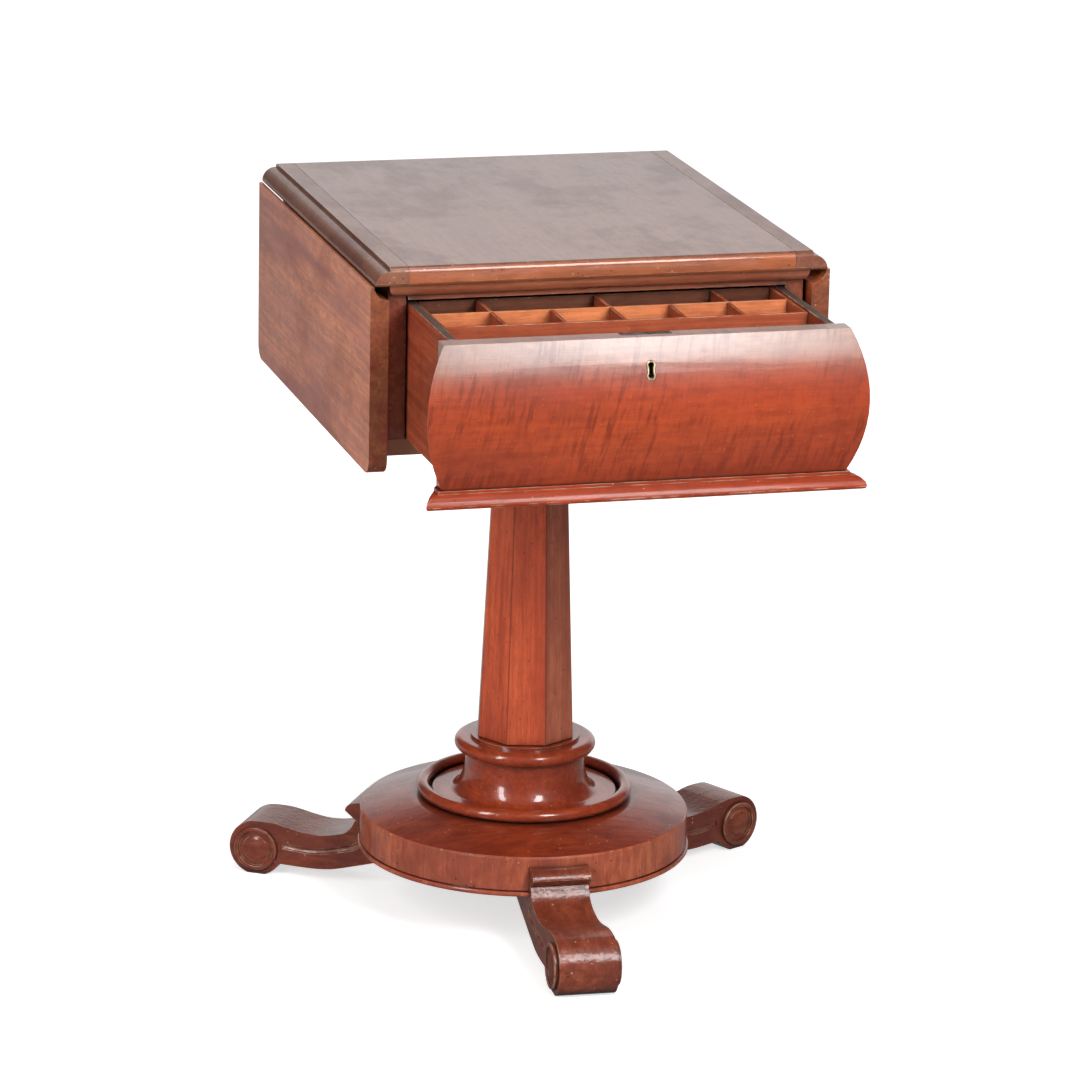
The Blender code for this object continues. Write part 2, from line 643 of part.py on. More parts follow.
def rail_moulding(side):
    """The moulded strip under the top; side is -1 at the front and 1 at the back."""
    face = side * (CARCASE_DEPTH / 2 + (GAP if side > 0 else 0))
    shrink = 0.6 * RAIL_MOULDING_PROJECTION
    edge = [(RAIL_MOULDING_PROJECTION - shrink, 0.0)]
    edge += [
        (RAIL_MOULDING_PROJECTION - shrink + shrink * math.sin(math.radians(angle)),
         0.85 * RAIL_MOULDING_HEIGHT * (1 - math.cos(math.radians(angle))))
        for angle in (20, 40, 60, 75, 90)
    ]
    edge += [(RAIL_MOULDING_PROJECTION, RAIL_MOULDING_HEIGHT)]
    return returned_moulding(
        edge, face, face + side * RAIL_MOULDING_PROJECTION,
        RAIL_MOULDING_WIDTH / 2 - RAIL_MOULDING_PROJECTION, RAIL_MOULDING_PROJECTION,
        CARCASE_TOP - RAIL_MOULDING_HEIGHT, 0.0,
    )


def bolt_place():
    """Lowest and highest corners of the lock bolt when the drawer is shut."""
    front = FRONT_BACK - BOLT_SETBACK - BOLT_THICKNESS
    top = FRONT_TOP - GAP
    low = Vector((-BOLT_WIDTH / 2, front, top - BOLT_HEIGHT))
    high = Vector((BOLT_WIDTH / 2, front + BOLT_THICKNESS, top))
    return low, high


def front_rail_mesh():
    """The top front rail: a tongue between the sides and a moulding, morticed for the lock bolt."""
    moulding = rail_moulding(-1)
    overlap = RAIL_MOULDING_PROJECTION / 4
    tongue = box(
        (-SIDE_INNER + GAP, CARCASE_FRONT - overlap, RAIL_BASE),
        (SIDE_INNER - GAP, CARCASE_FRONT + RAIL_DEPTH, CARCASE_TOP),
    )
    low, high = bolt_place()
    room = Vector((BOLT_CLEARANCE, BOLT_CLEARANCE, 0))
    mortice = box(low - 2 * room, high + 2 * room + Vector((0, 0, BOLT_TRAVEL + 2 * BOLT_CLEARANCE)))
    return cut(join(moulding, tongue), mortice)


def side_mesh():
    """The right carcase side, with a recess for the folded leaf bracket and a hole for its pin."""
    half_depth = CARCASE_DEPTH / 2
    outer = CARCASE_WIDTH / 2
    side = box((SIDE_INNER, -half_depth, RUNNING_FACE + GAP), (outer, half_depth, CARCASE_TOP))
    half = BRACKET_LENGTH / 2 + BRACKET_CLEARANCE
    recess = box(
        (outer - BRACKET_RECESS_DEPTH, -half, bracket_base() - GAP),
        (outer + BRACKET_RECESS_DEPTH, half, HEIGHT),
    )
    foot = bracket_pin_foot()
    hole = rod(foot - Vector((0, 0, GAP)), foot + Vector((0, 0, BRACKET_HEIGHT)), BRACKET_PIN_RADIUS + GAP)
    return cut(side, recess, hole)


def bracket_base():
    return CARCASE_TOP - BRACKET_CLEARANCE - BRACKET_HEIGHT


def bracket_pin_foot():
    """Lower end of the bracket's pivot pin."""
    across = CARCASE_WIDTH / 2 - BRACKET_RECESS_DEPTH / 2
    along = -BRACKET_LENGTH / 2 + BRACKET_RECESS_DEPTH / 2
    return Vector((across, along, bracket_base() - BRACKET_PIN_LENGTH))


def bracket_mesh():
    """A swing bracket for the leaf, folded into its recess, with its pivot pin at one end."""
    half = BRACKET_LENGTH / 2
    base = bracket_base()
    top = base + BRACKET_HEIGHT
    sweep = BRACKET_HEIGHT * 0.7
    tail = arc((half, base), (sweep, sweep), 180, 90, ARC_STEPS)
    outline = [(-half, top), (-half, base), *tail, (half, top)]
    outer = CARCASE_WIDTH / 2
    bracket = prism(outline, "YZ", outer - BRACKET_RECESS_DEPTH + GAP, outer - GAP)
    foot = bracket_pin_foot()
    return join(bracket, rod(foot, foot + Vector((0, 0, BRACKET_PIN_LENGTH * 2)), BRACKET_PIN_RADIUS))


def tenon_hole():
    return rod((0, 0, PLATFORM_BASE), (0, 0, RUNNING_FACE - 3 * GAP), BORE_RADIUS, SMALL_TURN_STEPS)


def build_carcase():
    half_width = CARCASE_WIDTH / 2
    half_depth = CARCASE_DEPTH / 2
    block = box(
        (-BLOCK_SIZE / 2, -BLOCK_SIZE / 2, BLOCK_BASE), (BLOCK_SIZE / 2, BLOCK_SIZE / 2, CARCASE_BASE - GAP)
    )
    add_part("column_block", cut(rounded_edges(block, BLOCK_EDGE, 1), tenon_hole()), CARCASE_WOOD)
    bottom = box((-half_width, -half_depth, CARCASE_BASE), (half_width, half_depth, RUNNING_FACE))
    add_part("carcase_bottom", cut(bottom, tenon_hole()), MAHOGANY)
    side = side_mesh()
    bracket = bracket_mesh()
    for name, turn in (("right", 0), ("left", 180)):
        add_part(f"carcase_side_{name}", side, MAHOGANY, turn=turn)
        add_part(f"leaf_bracket_{name}", bracket, CARCASE_WOOD, turn=turn)
    back = box(
        (-SIDE_INNER + GAP, half_depth - BACK_THICKNESS, RUNNING_FACE + GAP),
        (SIDE_INNER - GAP, half_depth, CARCASE_TOP),
    )
    add_part("carcase_back", back, CARCASE_WOOD)
    add_part("front_top_rail", front_rail_mesh(), MAHOGANY)
    add_part("back_top_rail", rail_moulding(1), MAHOGANY)
    add_part("false_front", swelled_front(half_depth + GAP, 1), FIGURED)
    add_part("false_front_moulding", base_moulding(half_depth + GAP, 1), MAHOGANY)


def nosing_prism(half_width):
    """The section of the top from front to back, with its rounded edges, drawn across a width."""
    flat = TOP_DEPTH / 2 - NOSING
    edge = arc((flat, HEIGHT - NOSING_HEIGHT), (NOSING, NOSING_HEIGHT), 90, 0)
    edge += [(TOP_DEPTH / 2, TOP_UNDERSIDE + NOSING / 2), (TOP_DEPTH / 2 - NOSING / 3, TOP_UNDERSIDE)]
    return prism([*mirrored(edge), *edge], "YZ", -half_width, half_width)


def hinge_centres():
    return (-HINGE_SPACING / 2, HINGE_SPACING / 2)


def rule_strip_mesh():
    """The right lipping of the top: fillet, quarter round and the beds of the hinges."""
    inner = PIN_X - RULE_STRIP_WIDTH
    outline = [(inner, TOP_UNDERSIDE), (inner, HEIGHT), (PIN_X, HEIGHT)]
    outline += arc((PIN_X, TOP_UNDERSIDE), RULE_RADIUS, 90, 0, ARC_STEPS + 2)
    strip = keep_common(prism(outline, "XZ", -TOP_DEPTH, TOP_DEPTH), nosing_prism(TOP_WIDTH))
    beds = []
    for centre in hinge_centres():
        half = HINGE_LENGTH / 2 + KNUCKLE_GAP
        bed_height = HINGE_LET_IN + HINGE_THICKNESS + GAP
        beds.append(box(
            (PIN_X - HINGE_TOP_REACH - GAP, centre - half, TOP_UNDERSIDE - bed_height),
            (PIN_X, centre + half, TOP_UNDERSIDE + bed_height),
        ))
        beds.append(rod(
            (PIN_X, centre - half, TOP_UNDERSIDE), (PIN_X, centre + half, TOP_UNDERSIDE),
            KNUCKLE_RADIUS + RULE_CLEARANCE,
        ))
    return cut(strip, *beds)


def leaf_mesh():
    """The right leaf, hanging: rounded on three edges, with a cove that closes on the quarter round."""
    half = LEAF_LENGTH / 2
    low = TOP_UNDERSIDE - LEAF_WIDTH
    spare = 2 * TOP_THICKNESS
    corner = arc((half - LEAF_CORNER_RADIUS, low + LEAF_CORNER_RADIUS), LEAF_CORNER_RADIUS, 0, -90)
    outline = [(half, TOP_UNDERSIDE + spare), *corner, *mirrored(corner), (-half, TOP_UNDERSIDE + spare)]
    slab = prism(outline, "YZ", PIN_X, PIN_X + TOP_THICKNESS)
    slab = rounded_edges(slab, LEAF_EDGE_RADIUS, 3)
    above = box(
        (PIN_X - spare, -TOP_DEPTH, TOP_UNDERSIDE - RULE_CLEARANCE),
        (PIN_X + 2 * spare, TOP_DEPTH, HEIGHT + spare),
    )
    cove = rod(
        (PIN_X, -TOP_DEPTH, TOP_UNDERSIDE), (PIN_X, TOP_DEPTH, TOP_UNDERSIDE),
        RULE_RADIUS + RULE_CLEARANCE, TURN_STEPS,
    )
    return cut(slab, above, cove)


def knuckle_spans(centre):
    """The three stretches of a hinge's barrel along its pin."""
    length = (HINGE_LENGTH - 2 * KNUCKLE_GAP) / 3
    starts = [centre - HINGE_LENGTH / 2 + index * (length + KNUCKLE_GAP) for index in range(3)]
    return [(start, start + length) for start in starts]


def pin_bar(span, radius):
    return rod((PIN_X, span[0], TOP_UNDERSIDE), (PIN_X, span[1], TOP_UNDERSIDE), radius)


def top_flap_mesh(centre):
    """The flap let into the top, with the outer knuckles and the pin."""
    spans = knuckle_spans(centre)
    low = TOP_UNDERSIDE + HINGE_LET_IN
    high = low + HINGE_THICKNESS
    flap = box(
        (PIN_X - HINGE_TOP_REACH, centre - HINGE_LENGTH / 2, low),
        (PIN_X - HINGE_NECK, centre + HINGE_LENGTH / 2, high),
    )
    tools = []
    for span in (spans[0], spans[2]):
        tools.append(box((PIN_X - HINGE_NECK - KNUCKLE_GAP, span[0], low), (PIN_X, span[1], high)))
        tools.append(pin_bar(span, KNUCKLE_RADIUS))
    tools.append(pin_bar((spans[0][0] + KNUCKLE_GAP, spans[2][1] - KNUCKLE_GAP), HINGE_PIN_RADIUS))
    return join(flap, *tools)


def leaf_flap_mesh(centre):
    """The flap screwed to the leaf, with the middle knuckle round the pin."""
    spans = knuckle_spans(centre)
    outer = PIN_X - HINGE_LET_IN
    inner = outer - HINGE_THICKNESS
    flap = box(
        (inner, centre - HINGE_LENGTH / 2, TOP_UNDERSIDE - HINGE_LEAF_REACH),
        (outer, centre + HINGE_LENGTH / 2, TOP_UNDERSIDE - HINGE_NECK),
    )
    neck = box(
        (inner, spans[1][0], TOP_UNDERSIDE - HINGE_NECK - KNUCKLE_GAP), (outer, spans[1][1], TOP_UNDERSIDE)
    )
    flap = join(flap, neck, pin_bar(spans[1], KNUCKLE_RADIUS))
    return cut(flap, pin_bar((spans[0][0], spans[2][1]), HINGE_PIN_RADIUS + PIN_CLEARANCE))


def build_top(leaf_axes):
    seam = PIN_X - RULE_STRIP_WIDTH - GAP
    add_part("top_board", nosing_prism(seam), FIGURED)
    strip = rule_strip_mesh()
    leaf = leaf_mesh()
    front, back = hinge_centres()
    top_flaps = {"front": top_flap_mesh(front), "back": top_flap_mesh(back)}
    leaf_flaps = {"front": leaf_flap_mesh(front), "back": leaf_flap_mesh(back)}
    swapped = {"front": "back", "back": "front"}
    for name, turn in (("right", 0), ("left", 180)):
        axis = leaf_axes[name]
        add_part(f"rule_strip_{name}", strip, MAHOGANY, turn=turn)
        on_axis(add_part(f"leaf_{name}", leaf, MAHOGANY, turn=turn), axis)
        for end in ("front", "back"):
            source = end if turn == 0 else swapped[end]
            add_part(f"hinge_top_{name}_{end}", top_flaps[source], BRASS, turn=turn)
            on_axis(add_part(f"hinge_leaf_{name}_{end}", leaf_flaps[source], BRASS, turn=turn), axis)


def on_axis(piece, axis):
    """Parent a piece to a joint's empty without moving it."""
    piece.parent = axis
    piece.matrix_parent_inverse = Matrix.Translation(axis.location).inverted()


def swelled_front(back, side):
    """A drawer front with a swelled face and canted ends; side is -1 towards the front of the table."""
    edge = back + side * FRONT_THICKNESS
    swell_radius = (FRONT_HEIGHT ** 2 / 4 + FRONT_SWELL ** 2) / (2 * FRONT_SWELL)
    reach = math.degrees(math.asin(FRONT_HEIGHT / 2 / swell_radius))
    middle = FRONT_BASE + FRONT_HEIGHT / 2
    face = [
        (edge + side * (across - (swell_radius - FRONT_SWELL)), up)
        for across, up in arc((0, middle), swell_radius, -reach, reach, 2 * ARC_STEPS)
    ]
    section = [(back, FRONT_BASE), *face, (back, FRONT_TOP)]
    half = FRONT_WIDTH / 2
    ends = [
        (half, back), (half, edge), (half + FRONT_SPREAD, edge + side * FRONT_SWELL),
        (half + FRONT_SPREAD, edge + side * 2 * FRONT_SWELL),
    ]
    plan = [*ends, *mirrored(ends)]
    return keep_common(
        prism(section, "YZ", -FRONT_WIDTH, FRONT_WIDTH),
        prism(plan, "XY", FRONT_BASE - FRONT_HEIGHT, FRONT_TOP + FRONT_HEIGHT),
    )


def base_moulding(back, side):
    """The thumbnail moulding under a drawer front, returned round both ends."""
    nose = BASE_MOULDING_PROJECTION
    rise = BASE_MOULDING_HEIGHT
    fillet = 0.2 * rise
    edge = [(0.7 * nose, 0.0), (0.92 * nose, 0.06 * rise), (nose, 0.2 * rise)]
    edge += [
        (0.25 * nose + 0.75 * nose * math.cos(math.radians(angle)),
         0.2 * rise + (0.8 * rise - fillet) * math.sin(math.radians(angle)))
        for angle in (25, 50, 70, 90)
    ]
    edge += [(0.2 * nose, rise - fillet), (0.2 * nose, rise)]
    return returned_moulding(
        edge, back, back + side * (FRONT_THICKNESS + nose), FRONT_WIDTH / 2,
        BASE_MOULDING_END_PROJECTION, FRONT_BASE - GAP - rise, BASE_MOULDING_CANT,
    )


def keyhole_outline(grow):
    """A keyhole: a round eye and a rounded foot with a waist between them, grown by a margin."""
    middle = FRONT_TOP - KEYHOLE_DROP
    offset = KEYHOLE_LENGTH / 2 - KEYHOLE_RADIUS
    radius = KEYHOLE_RADIUS + grow
    turn = math.degrees(math.acos((KEYHOLE_WAIST / 2 + grow) / radius))
    eye = arc((0, middle + offset), radius, -turn, 180 + turn, 2 * ARC_STEPS)
    foot = arc((0, middle - offset), radius, 180 - turn, 360 + turn, 2 * ARC_STEPS)
    return eye + foot


def keyhole_face():
    """Where the swelled face stands at the keyhole's height."""
    swell_radius = (FRONT_HEIGHT ** 2 / 4 + FRONT_SWELL ** 2) / (2 * FRONT_SWELL)
    off_centre = FRONT_HEIGHT / 2 - KEYHOLE_DROP
    return FRONT_EDGE - (math.sqrt(swell_radius ** 2 - off_centre ** 2) - swell_radius + FRONT_SWELL)


def lock_place():
    """Lowest and highest corners of the lock case."""
    low = Vector((-LOCK_WIDTH / 2, FRONT_BACK - LOCK_DEPTH, FRONT_TOP - LOCK_HEIGHT))
    high = Vector((LOCK_WIDTH / 2, FRONT_BACK, FRONT_TOP - GAP))
    return low, high


def drawer_front_mesh():
    """The drawer front with its lock bed, keyhole, escutcheon bed and the groove of the drawer bottom."""
    low, high = lock_place()
    room = Vector((GAP, GAP, GAP))
    bed = box(low - room, (high.x + GAP, FRONT_BACK + FRONT_THICKNESS, FRONT_TOP + LOCK_HEIGHT))
    face = keyhole_face()
    hole = prism(keyhole_outline(0.0), "XZ", face - FRONT_SWELL, FRONT_BACK - LOCK_DEPTH / 2)
    rim = prism(
        keyhole_outline(ESCUTCHEON_RIM + GAP), "XZ", face - FRONT_SWELL, face + ESCUTCHEON_DEPTH + GAP
    )
    groove = box(
        (-DRAWER_INNER, FRONT_BACK - DRAWER_GROOVE_DEPTH, DRAWER_BASE + DRAWER_BOTTOM_LIFT - GAP),
        (DRAWER_INNER, FRONT_BACK + FRONT_THICKNESS, DRAWER_FLOOR + GAP),
    )
    return cut(swelled_front(FRONT_BACK, -1), bed, hole, rim, groove)


def escutcheon_mesh():
    """The keyhole's brass lining, its front a little proud of the swelled face."""
    front = keyhole_face() - FRONT_SWELL
    back = keyhole_face() + ESCUTCHEON_DEPTH
    plate = prism(keyhole_outline(ESCUTCHEON_RIM), "XZ", front, back)
    proud = moved(swelled_front(FRONT_BACK, -1), Matrix.Translation((0, -ESCUTCHEON_PROUD, 0)))
    return cut(keep_common(plate, proud), prism(keyhole_outline(0.0), "XZ", front, back + FRONT_SWELL))


def lock_case_mesh():
    low, high = lock_place()
    bolt_low, bolt_high = bolt_place()
    room = Vector((BOLT_CLEARANCE, BOLT_CLEARANCE, BOLT_CLEARANCE))
    slot = box(bolt_low - room, bolt_high + room + Vector((0, 0, BOLT_TRAVEL)))
    return cut(box(low, high), slot)


def drawer_side_mesh():
    """The right drawer side, grooved for the drawer bottom."""
    side = box((DRAWER_INNER, FRONT_BACK + GAP, DRAWER_BASE), (DRAWER_OUTER, DRAWER_END, DRAWER_TOP))
    groove = box(
        (DRAWER_INNER - DRAWER_GROOVE_DEPTH, FRONT_BACK - GAP, DRAWER_BASE + DRAWER_BOTTOM_LIFT - GAP),
        (DRAWER_INNER + DRAWER_GROOVE_DEPTH, DRAWER_END + GAP, DRAWER_FLOOR + GAP),
    )
    return cut(side, groove)


def build_drawer(axis, bolt_axis):
    add_part("drawer_front", drawer_front_mesh(), FIGURED, axis)
    add_part("drawer_moulding", base_moulding(FRONT_BACK, -1), MAHOGANY, axis)
    side = drawer_side_mesh()
    mirror_side = side.copy()
    mirror_side.transform(Matrix.Scale(-1, 4, (1, 0, 0)))
    mirror_side.flip_normals()
    add_part("drawer_side_right", side, CEDAR, axis)
    add_part("drawer_side_left", mirror_side, CEDAR, axis)
    inner = DRAWER_INNER - GAP
    back = box(
        (-inner, DRAWER_END - DRAWER_BACK_THICKNESS, DRAWER_FLOOR + GAP), (inner, DRAWER_END, TRAY_TOP)
    )
    add_part("drawer_back", back, CEDAR, axis)
    housed = DRAWER_INNER + DRAWER_GROOVE_DEPTH - GAP
    bottom = box(
        (-housed, FRONT_BACK + GAP, DRAWER_BASE + DRAWER_BOTTOM_LIFT), (housed, DRAWER_END, DRAWER_FLOOR)
    )
    tongue = box(
        (-inner, FRONT_BACK - DRAWER_GROOVE_DEPTH + GAP, DRAWER_BASE + DRAWER_BOTTOM_LIFT),
        (inner, FRONT_BACK + FRONT_THICKNESS, DRAWER_FLOOR),
    )
    add_part("drawer_bottom", join(bottom, tongue), CEDAR, axis)
    add_part("lock_case", lock_case_mesh(), BRASS, axis)
    add_part("lock_bolt", box(*bolt_place()), IRON, bolt_axis)
    add_part("escutcheon", escutcheon_mesh(), BRASS, axis)


def build_interior(axis):
    """The fitted interior: linings that stand on the drawer bottom, a shelf and crossing partitions."""
    rear = DRAWER_END - DRAWER_BACK_THICKNESS - GAP
    outer = DRAWER_INNER - GAP
    shelf_top = TRAY_BASE + TRAY_WALL
    for name, sign in (("right", 1), ("left", -1)):
        edges = sorted((sign * TRAY_INNER, sign * outer))
        lining = box((edges[0], TRAY_START, DRAWER_FLOOR + GAP), (edges[1], rear, TRAY_TOP))
        add_part(f"tray_lining_{name}", lining, CEDAR, axis)
    span = TRAY_INNER - GAP
    shelf_start = TRAY_START + TRAY_WALL + GAP
    add_part("tray_shelf", box((-span, shelf_start, TRAY_BASE), (span, rear, shelf_top)), CEDAR, axis)
    names = ("tray_front", "tray_partition_front", "tray_partition_rear")
    starts = [TRAY_START + TRAY_ROW * index for index in range(len(names))]
    for name, start in zip(names, starts):
        base = DRAWER_FLOOR + GAP if name == "tray_front" else shelf_top + GAP
        add_part(name, box((-span, start, base), (span, start + TRAY_WALL, TRAY_TOP)), CEDAR, axis)
    rows = {
        "front": [index / FRONT_ROW_PLACES for index in range(1, FRONT_ROW_PLACES)],
        "rear": [share / 6 for share in REAR_ROW_SHARES],
    }
    for (row, places), start in zip(rows.items(), starts):
        low_y = start + TRAY_WALL + GAP
        high_y = start + TRAY_ROW - GAP
        for number, share in enumerate(places, 1):
            middle = -span + 2 * span * share
            divider = box(
                (middle - TRAY_WALL / 2, low_y, shelf_top + GAP), (middle + TRAY_WALL / 2, high_y, TRAY_TOP)
            )
            add_part(f"tray_divider_{row}_{number}", divider, CEDAR, axis)


def main():
    for item in list(bpy.data.objects):
        bpy.data.objects.remove(item)
    new_collection("work_table")
    new_collection("cutters")
    drawer_axis = add_axis("drawer_slide_axis", (0, -DRAWER_OPEN, 0))
    bolt_axis = add_axis("lock_bolt_axis", (0, 0, 0))
    bolt_axis.parent = drawer_axis
    leaf_axes = {
        "right": add_axis("leaf_right_pin_axis", (PIN_X, 0, TOP_UNDERSIDE)),
        "left": add_axis("leaf_left_pin_axis", (-PIN_X, 0, TOP_UNDERSIDE)),
    }
    build_base()
    build_carcase()
    build_top(leaf_axes)
    build_drawer(drawer_axis, bolt_axis)
    build_interior(drawer_axis)


main()
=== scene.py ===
"""Work table with two drop leaves and a fitted drawer: finishes, screws, lights and camera.

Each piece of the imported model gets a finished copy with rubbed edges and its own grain.
"""
import math

import bmesh
import bpy
from bpy.props import FloatProperty, FloatVectorProperty, IntProperty, PointerProperty
from mathutils import Matrix, Vector
from mathutils.kdtree import KDTree


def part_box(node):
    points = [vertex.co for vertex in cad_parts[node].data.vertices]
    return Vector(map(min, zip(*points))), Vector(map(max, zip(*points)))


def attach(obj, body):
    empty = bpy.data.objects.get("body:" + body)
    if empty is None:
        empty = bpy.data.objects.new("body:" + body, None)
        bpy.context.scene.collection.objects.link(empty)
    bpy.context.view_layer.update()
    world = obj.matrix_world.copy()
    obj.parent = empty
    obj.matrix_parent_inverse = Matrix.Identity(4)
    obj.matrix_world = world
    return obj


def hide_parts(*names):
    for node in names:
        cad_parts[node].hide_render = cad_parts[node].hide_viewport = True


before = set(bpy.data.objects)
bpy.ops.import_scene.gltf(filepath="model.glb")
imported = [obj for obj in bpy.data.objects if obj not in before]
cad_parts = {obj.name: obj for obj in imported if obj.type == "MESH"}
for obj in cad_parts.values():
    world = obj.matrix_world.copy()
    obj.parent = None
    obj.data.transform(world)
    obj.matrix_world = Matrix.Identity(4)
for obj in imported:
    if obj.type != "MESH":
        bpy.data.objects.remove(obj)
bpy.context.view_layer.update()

bl_info = {
    "name": "Work Table Finish",
    "version": (1, 0, 0),
    "blender": (4, 5, 0),
    "location": "View3D > Sidebar > Work Table",
    "description": "Polished mahogany, metalwork and studio for a drop-leaf work table",
    "category": "Object",
}

SIDES = ("left", "right")
ENDS = ("front", "back")
FEET = ("front", "left", "right")
MERGE_DISTANCE = 1e-6
CIRCLE_TOLERANCE = 2e-6
LONGEST_STEP = 0.6
ROUNDINGS = 2
ACROSS_SHARE = 0.1
ALONG_SHARE = 0.99
OUTLINE_TURN = math.radians(18)
# Heights over which the painted highlight on the upper drawer front fades in.
HIGHLIGHT_HEIGHTS = (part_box("drawer_front")[1].z - 0.052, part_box("drawer_front")[1].z - 0.004)
FLAT_ANGLE = math.radians(0.4)
SHARP_ANGLE = math.radians(33)
X_AXIS = Vector((1, 0, 0))
Y_AXIS = Vector((0, 1, 0))
Z_AXIS = Vector((0, 0, 1))
GRAIN_SHIFT = (0.713, 0.391, 0.577)
STEEP = 0.7
DEEP_TINT = (0.42, 0.34, 0.40)
BRIGHT_TINT = (1.22, 1.50, 1.40)
# Colour of painted shade, with some dark wax, in hollows, creases and joints.
SHADE_AND_GRIME_COLOUR = (0.022, 0.010, 0.007)
HEAD_CORNERS = 20
SLOT_LENGTH = 0.02
FLOOR_RADIUS = 9.0
FLOOR_DROP = 0.0002
LOOK_AT = Vector((0, 0, 0.5))
BRIGHT_SIDE = (0.35, 0.937, 0.0)
CAMERA_TURNS = (15.5887, 15.5969, 1.2142)
CAMERA_PLACE = (-1.3928, -5.0344, 1.8468)
SENSOR_WIDTH = 36.0


def colour_property(label, description, default):
    """A linear colour that a user may change."""
    return FloatVectorProperty(name=label, description=description, default=default,
                               subtype="COLOR", size=3, min=0.0, max=1.0)


def length_property(label, description, default):
    """A length in metres that a user may change."""
    return FloatProperty(name=label, description=description, default=default, unit="LENGTH", precision=5)


def level_property(label, description, default):
    """A plain number that a user may change."""
    return FloatProperty(name=label, description=description, default=default)


def lamp_size_property(label, description, default):
    """Width and height of a lamp that a user may change."""
    return FloatVectorProperty(name=label, description=description, default=default, size=2, unit="LENGTH")


class TableSizes(bpy.types.PropertyGroup):
    """Sizes of the rubbed edges and of the screws."""

    board_arris: length_property("Board arris", "Rounding rubbed onto the edges of boards", 0.0008)
    seam_arris: length_property("Seam arris", "Rounding where boards of the top meet", 0.00025)
    foot_arris: length_property("Foot arris", "Rounding rubbed onto the carved feet", 0.0015)
    tray_arris: length_property("Tray arris", "Rounding on the thin strips of the tray", 0.0004)
    metal_arris: length_property("Metal arris", "Rounding on hinges, lock and escutcheon", 0.00022)
    screw_radius: length_property("Screw head", "Radius of a screw head", 0.0024)
    screw_height: length_property("Screw head height", "How thick a screw head is", 0.0008)
    screw_proud: length_property("Screw standing proud", "How far a head stands out of its plate", 0.00022)
    slot_width: length_property("Slot width", "Width of the slot in a screw head", 0.0007)
    slot_depth: length_property("Slot depth", "Depth of the slot in a screw head", 0.0004)
    screw_seed: IntProperty(name="Screw seed", description="Seed for the turns of the screws", default=4)


class TableColours(bpy.types.PropertyGroup):
    """Main colours of the woods and metals."""

    top_wood: colour_property("Top", "Mahogany of the top", (0.235, 0.085, 0.048))
    edge_wood: colour_property("Top edge", "Brighter mahogany of the moulded edge", (0.36, 0.092, 0.030))
    # Painted shade on the sideways faces of the rule joint.
    rule_wood: colour_property("Rule joint", "Painted shade on the rounded joint", (0.20, 0.060, 0.028))
    leaf_wood: colour_property("Leaves", "Mahogany of the two leaves", (0.58, 0.140, 0.042))
    leaf_edge: colour_property("Leaf edge", "Darker wood of the leaves' rounded ends", (0.24, 0.066, 0.026))
    front_wood: colour_property("Drawer front", "Figured wood of the drawer front", (0.345, 0.044, 0.010))
    # Painted highlight: pale colour on the upper drawer front.
    faded_wood: colour_property("Front highlight", "Painted highlight on the upper drawer front", (0.25, 0.115, 0.075))
    # Dust and painted sheen on faces that look up.
    dusty_edge: colour_property("Dust and sheen", "Upper edges of the drawer", (0.13, 0.095, 0.075))
    frame_wood: colour_property("Carcase", "Mahogany of the sides and brackets", (0.27, 0.062, 0.026))
    # Paler and less red than the carcase: partly painted sheen.
    rail_wood: colour_property("Rails", "Mahogany of the top rails", (0.37, 0.110, 0.050))
    column_wood: colour_property("Column", "Mahogany of the column", (0.60, 0.080, 0.022))
    # A tint set by which way each column facet faces.
    brown_veneer: colour_property("Brown veneer", "Brown tint set by which way each facet faces", (0.50, 0.15, 0.080))
    dark_line: colour_property("Facet lines", "Dark joints of the column's veneer", (0.12, 0.022, 0.010))
    turned_wood: colour_property("Turnings", "Mahogany of the ring and socle", (0.39, 0.054, 0.016))
    platform_wood: colour_property("Platform", "Dark mahogany of the platform", (0.31, 0.042, 0.013))
    rim_wood: colour_property("Platform rim", "Veneer round the platform's edge", (0.55, 0.130, 0.060))
    foot_wood: colour_property("Feet", "Dark mahogany of the scroll feet", (0.29, 0.060, 0.027))
    tray_wood: colour_property("Drawer inside", "Unpolished wood of drawer and tray", (0.37, 0.072, 0.027))
    # Painted light on the front partition's wall, painted shade on the rear partition.
    bright_tray_wood: colour_property("Tray row", "Painted light on the wall behind the front row", (0.66, 0.20, 0.075))
    dark_tray_wood: colour_property("Rear of tray", "Painted shade at the tray's back", (0.13, 0.040, 0.020))
    carcase_wood: colour_property("Carcase inside", "Plain wood of back and bottom", (0.25, 0.08, 0.033))
    worn_wood: colour_property("Worn edges", "Pale wood where the polish is rubbed off", (0.50, 0.34, 0.22))
    brass: colour_property("Brass", "Aged brass of the escutcheon and hinges", (0.44, 0.35, 0.22))
    iron: colour_property("Iron", "Dark iron of the lock and screws", (0.10, 0.09, 0.08))


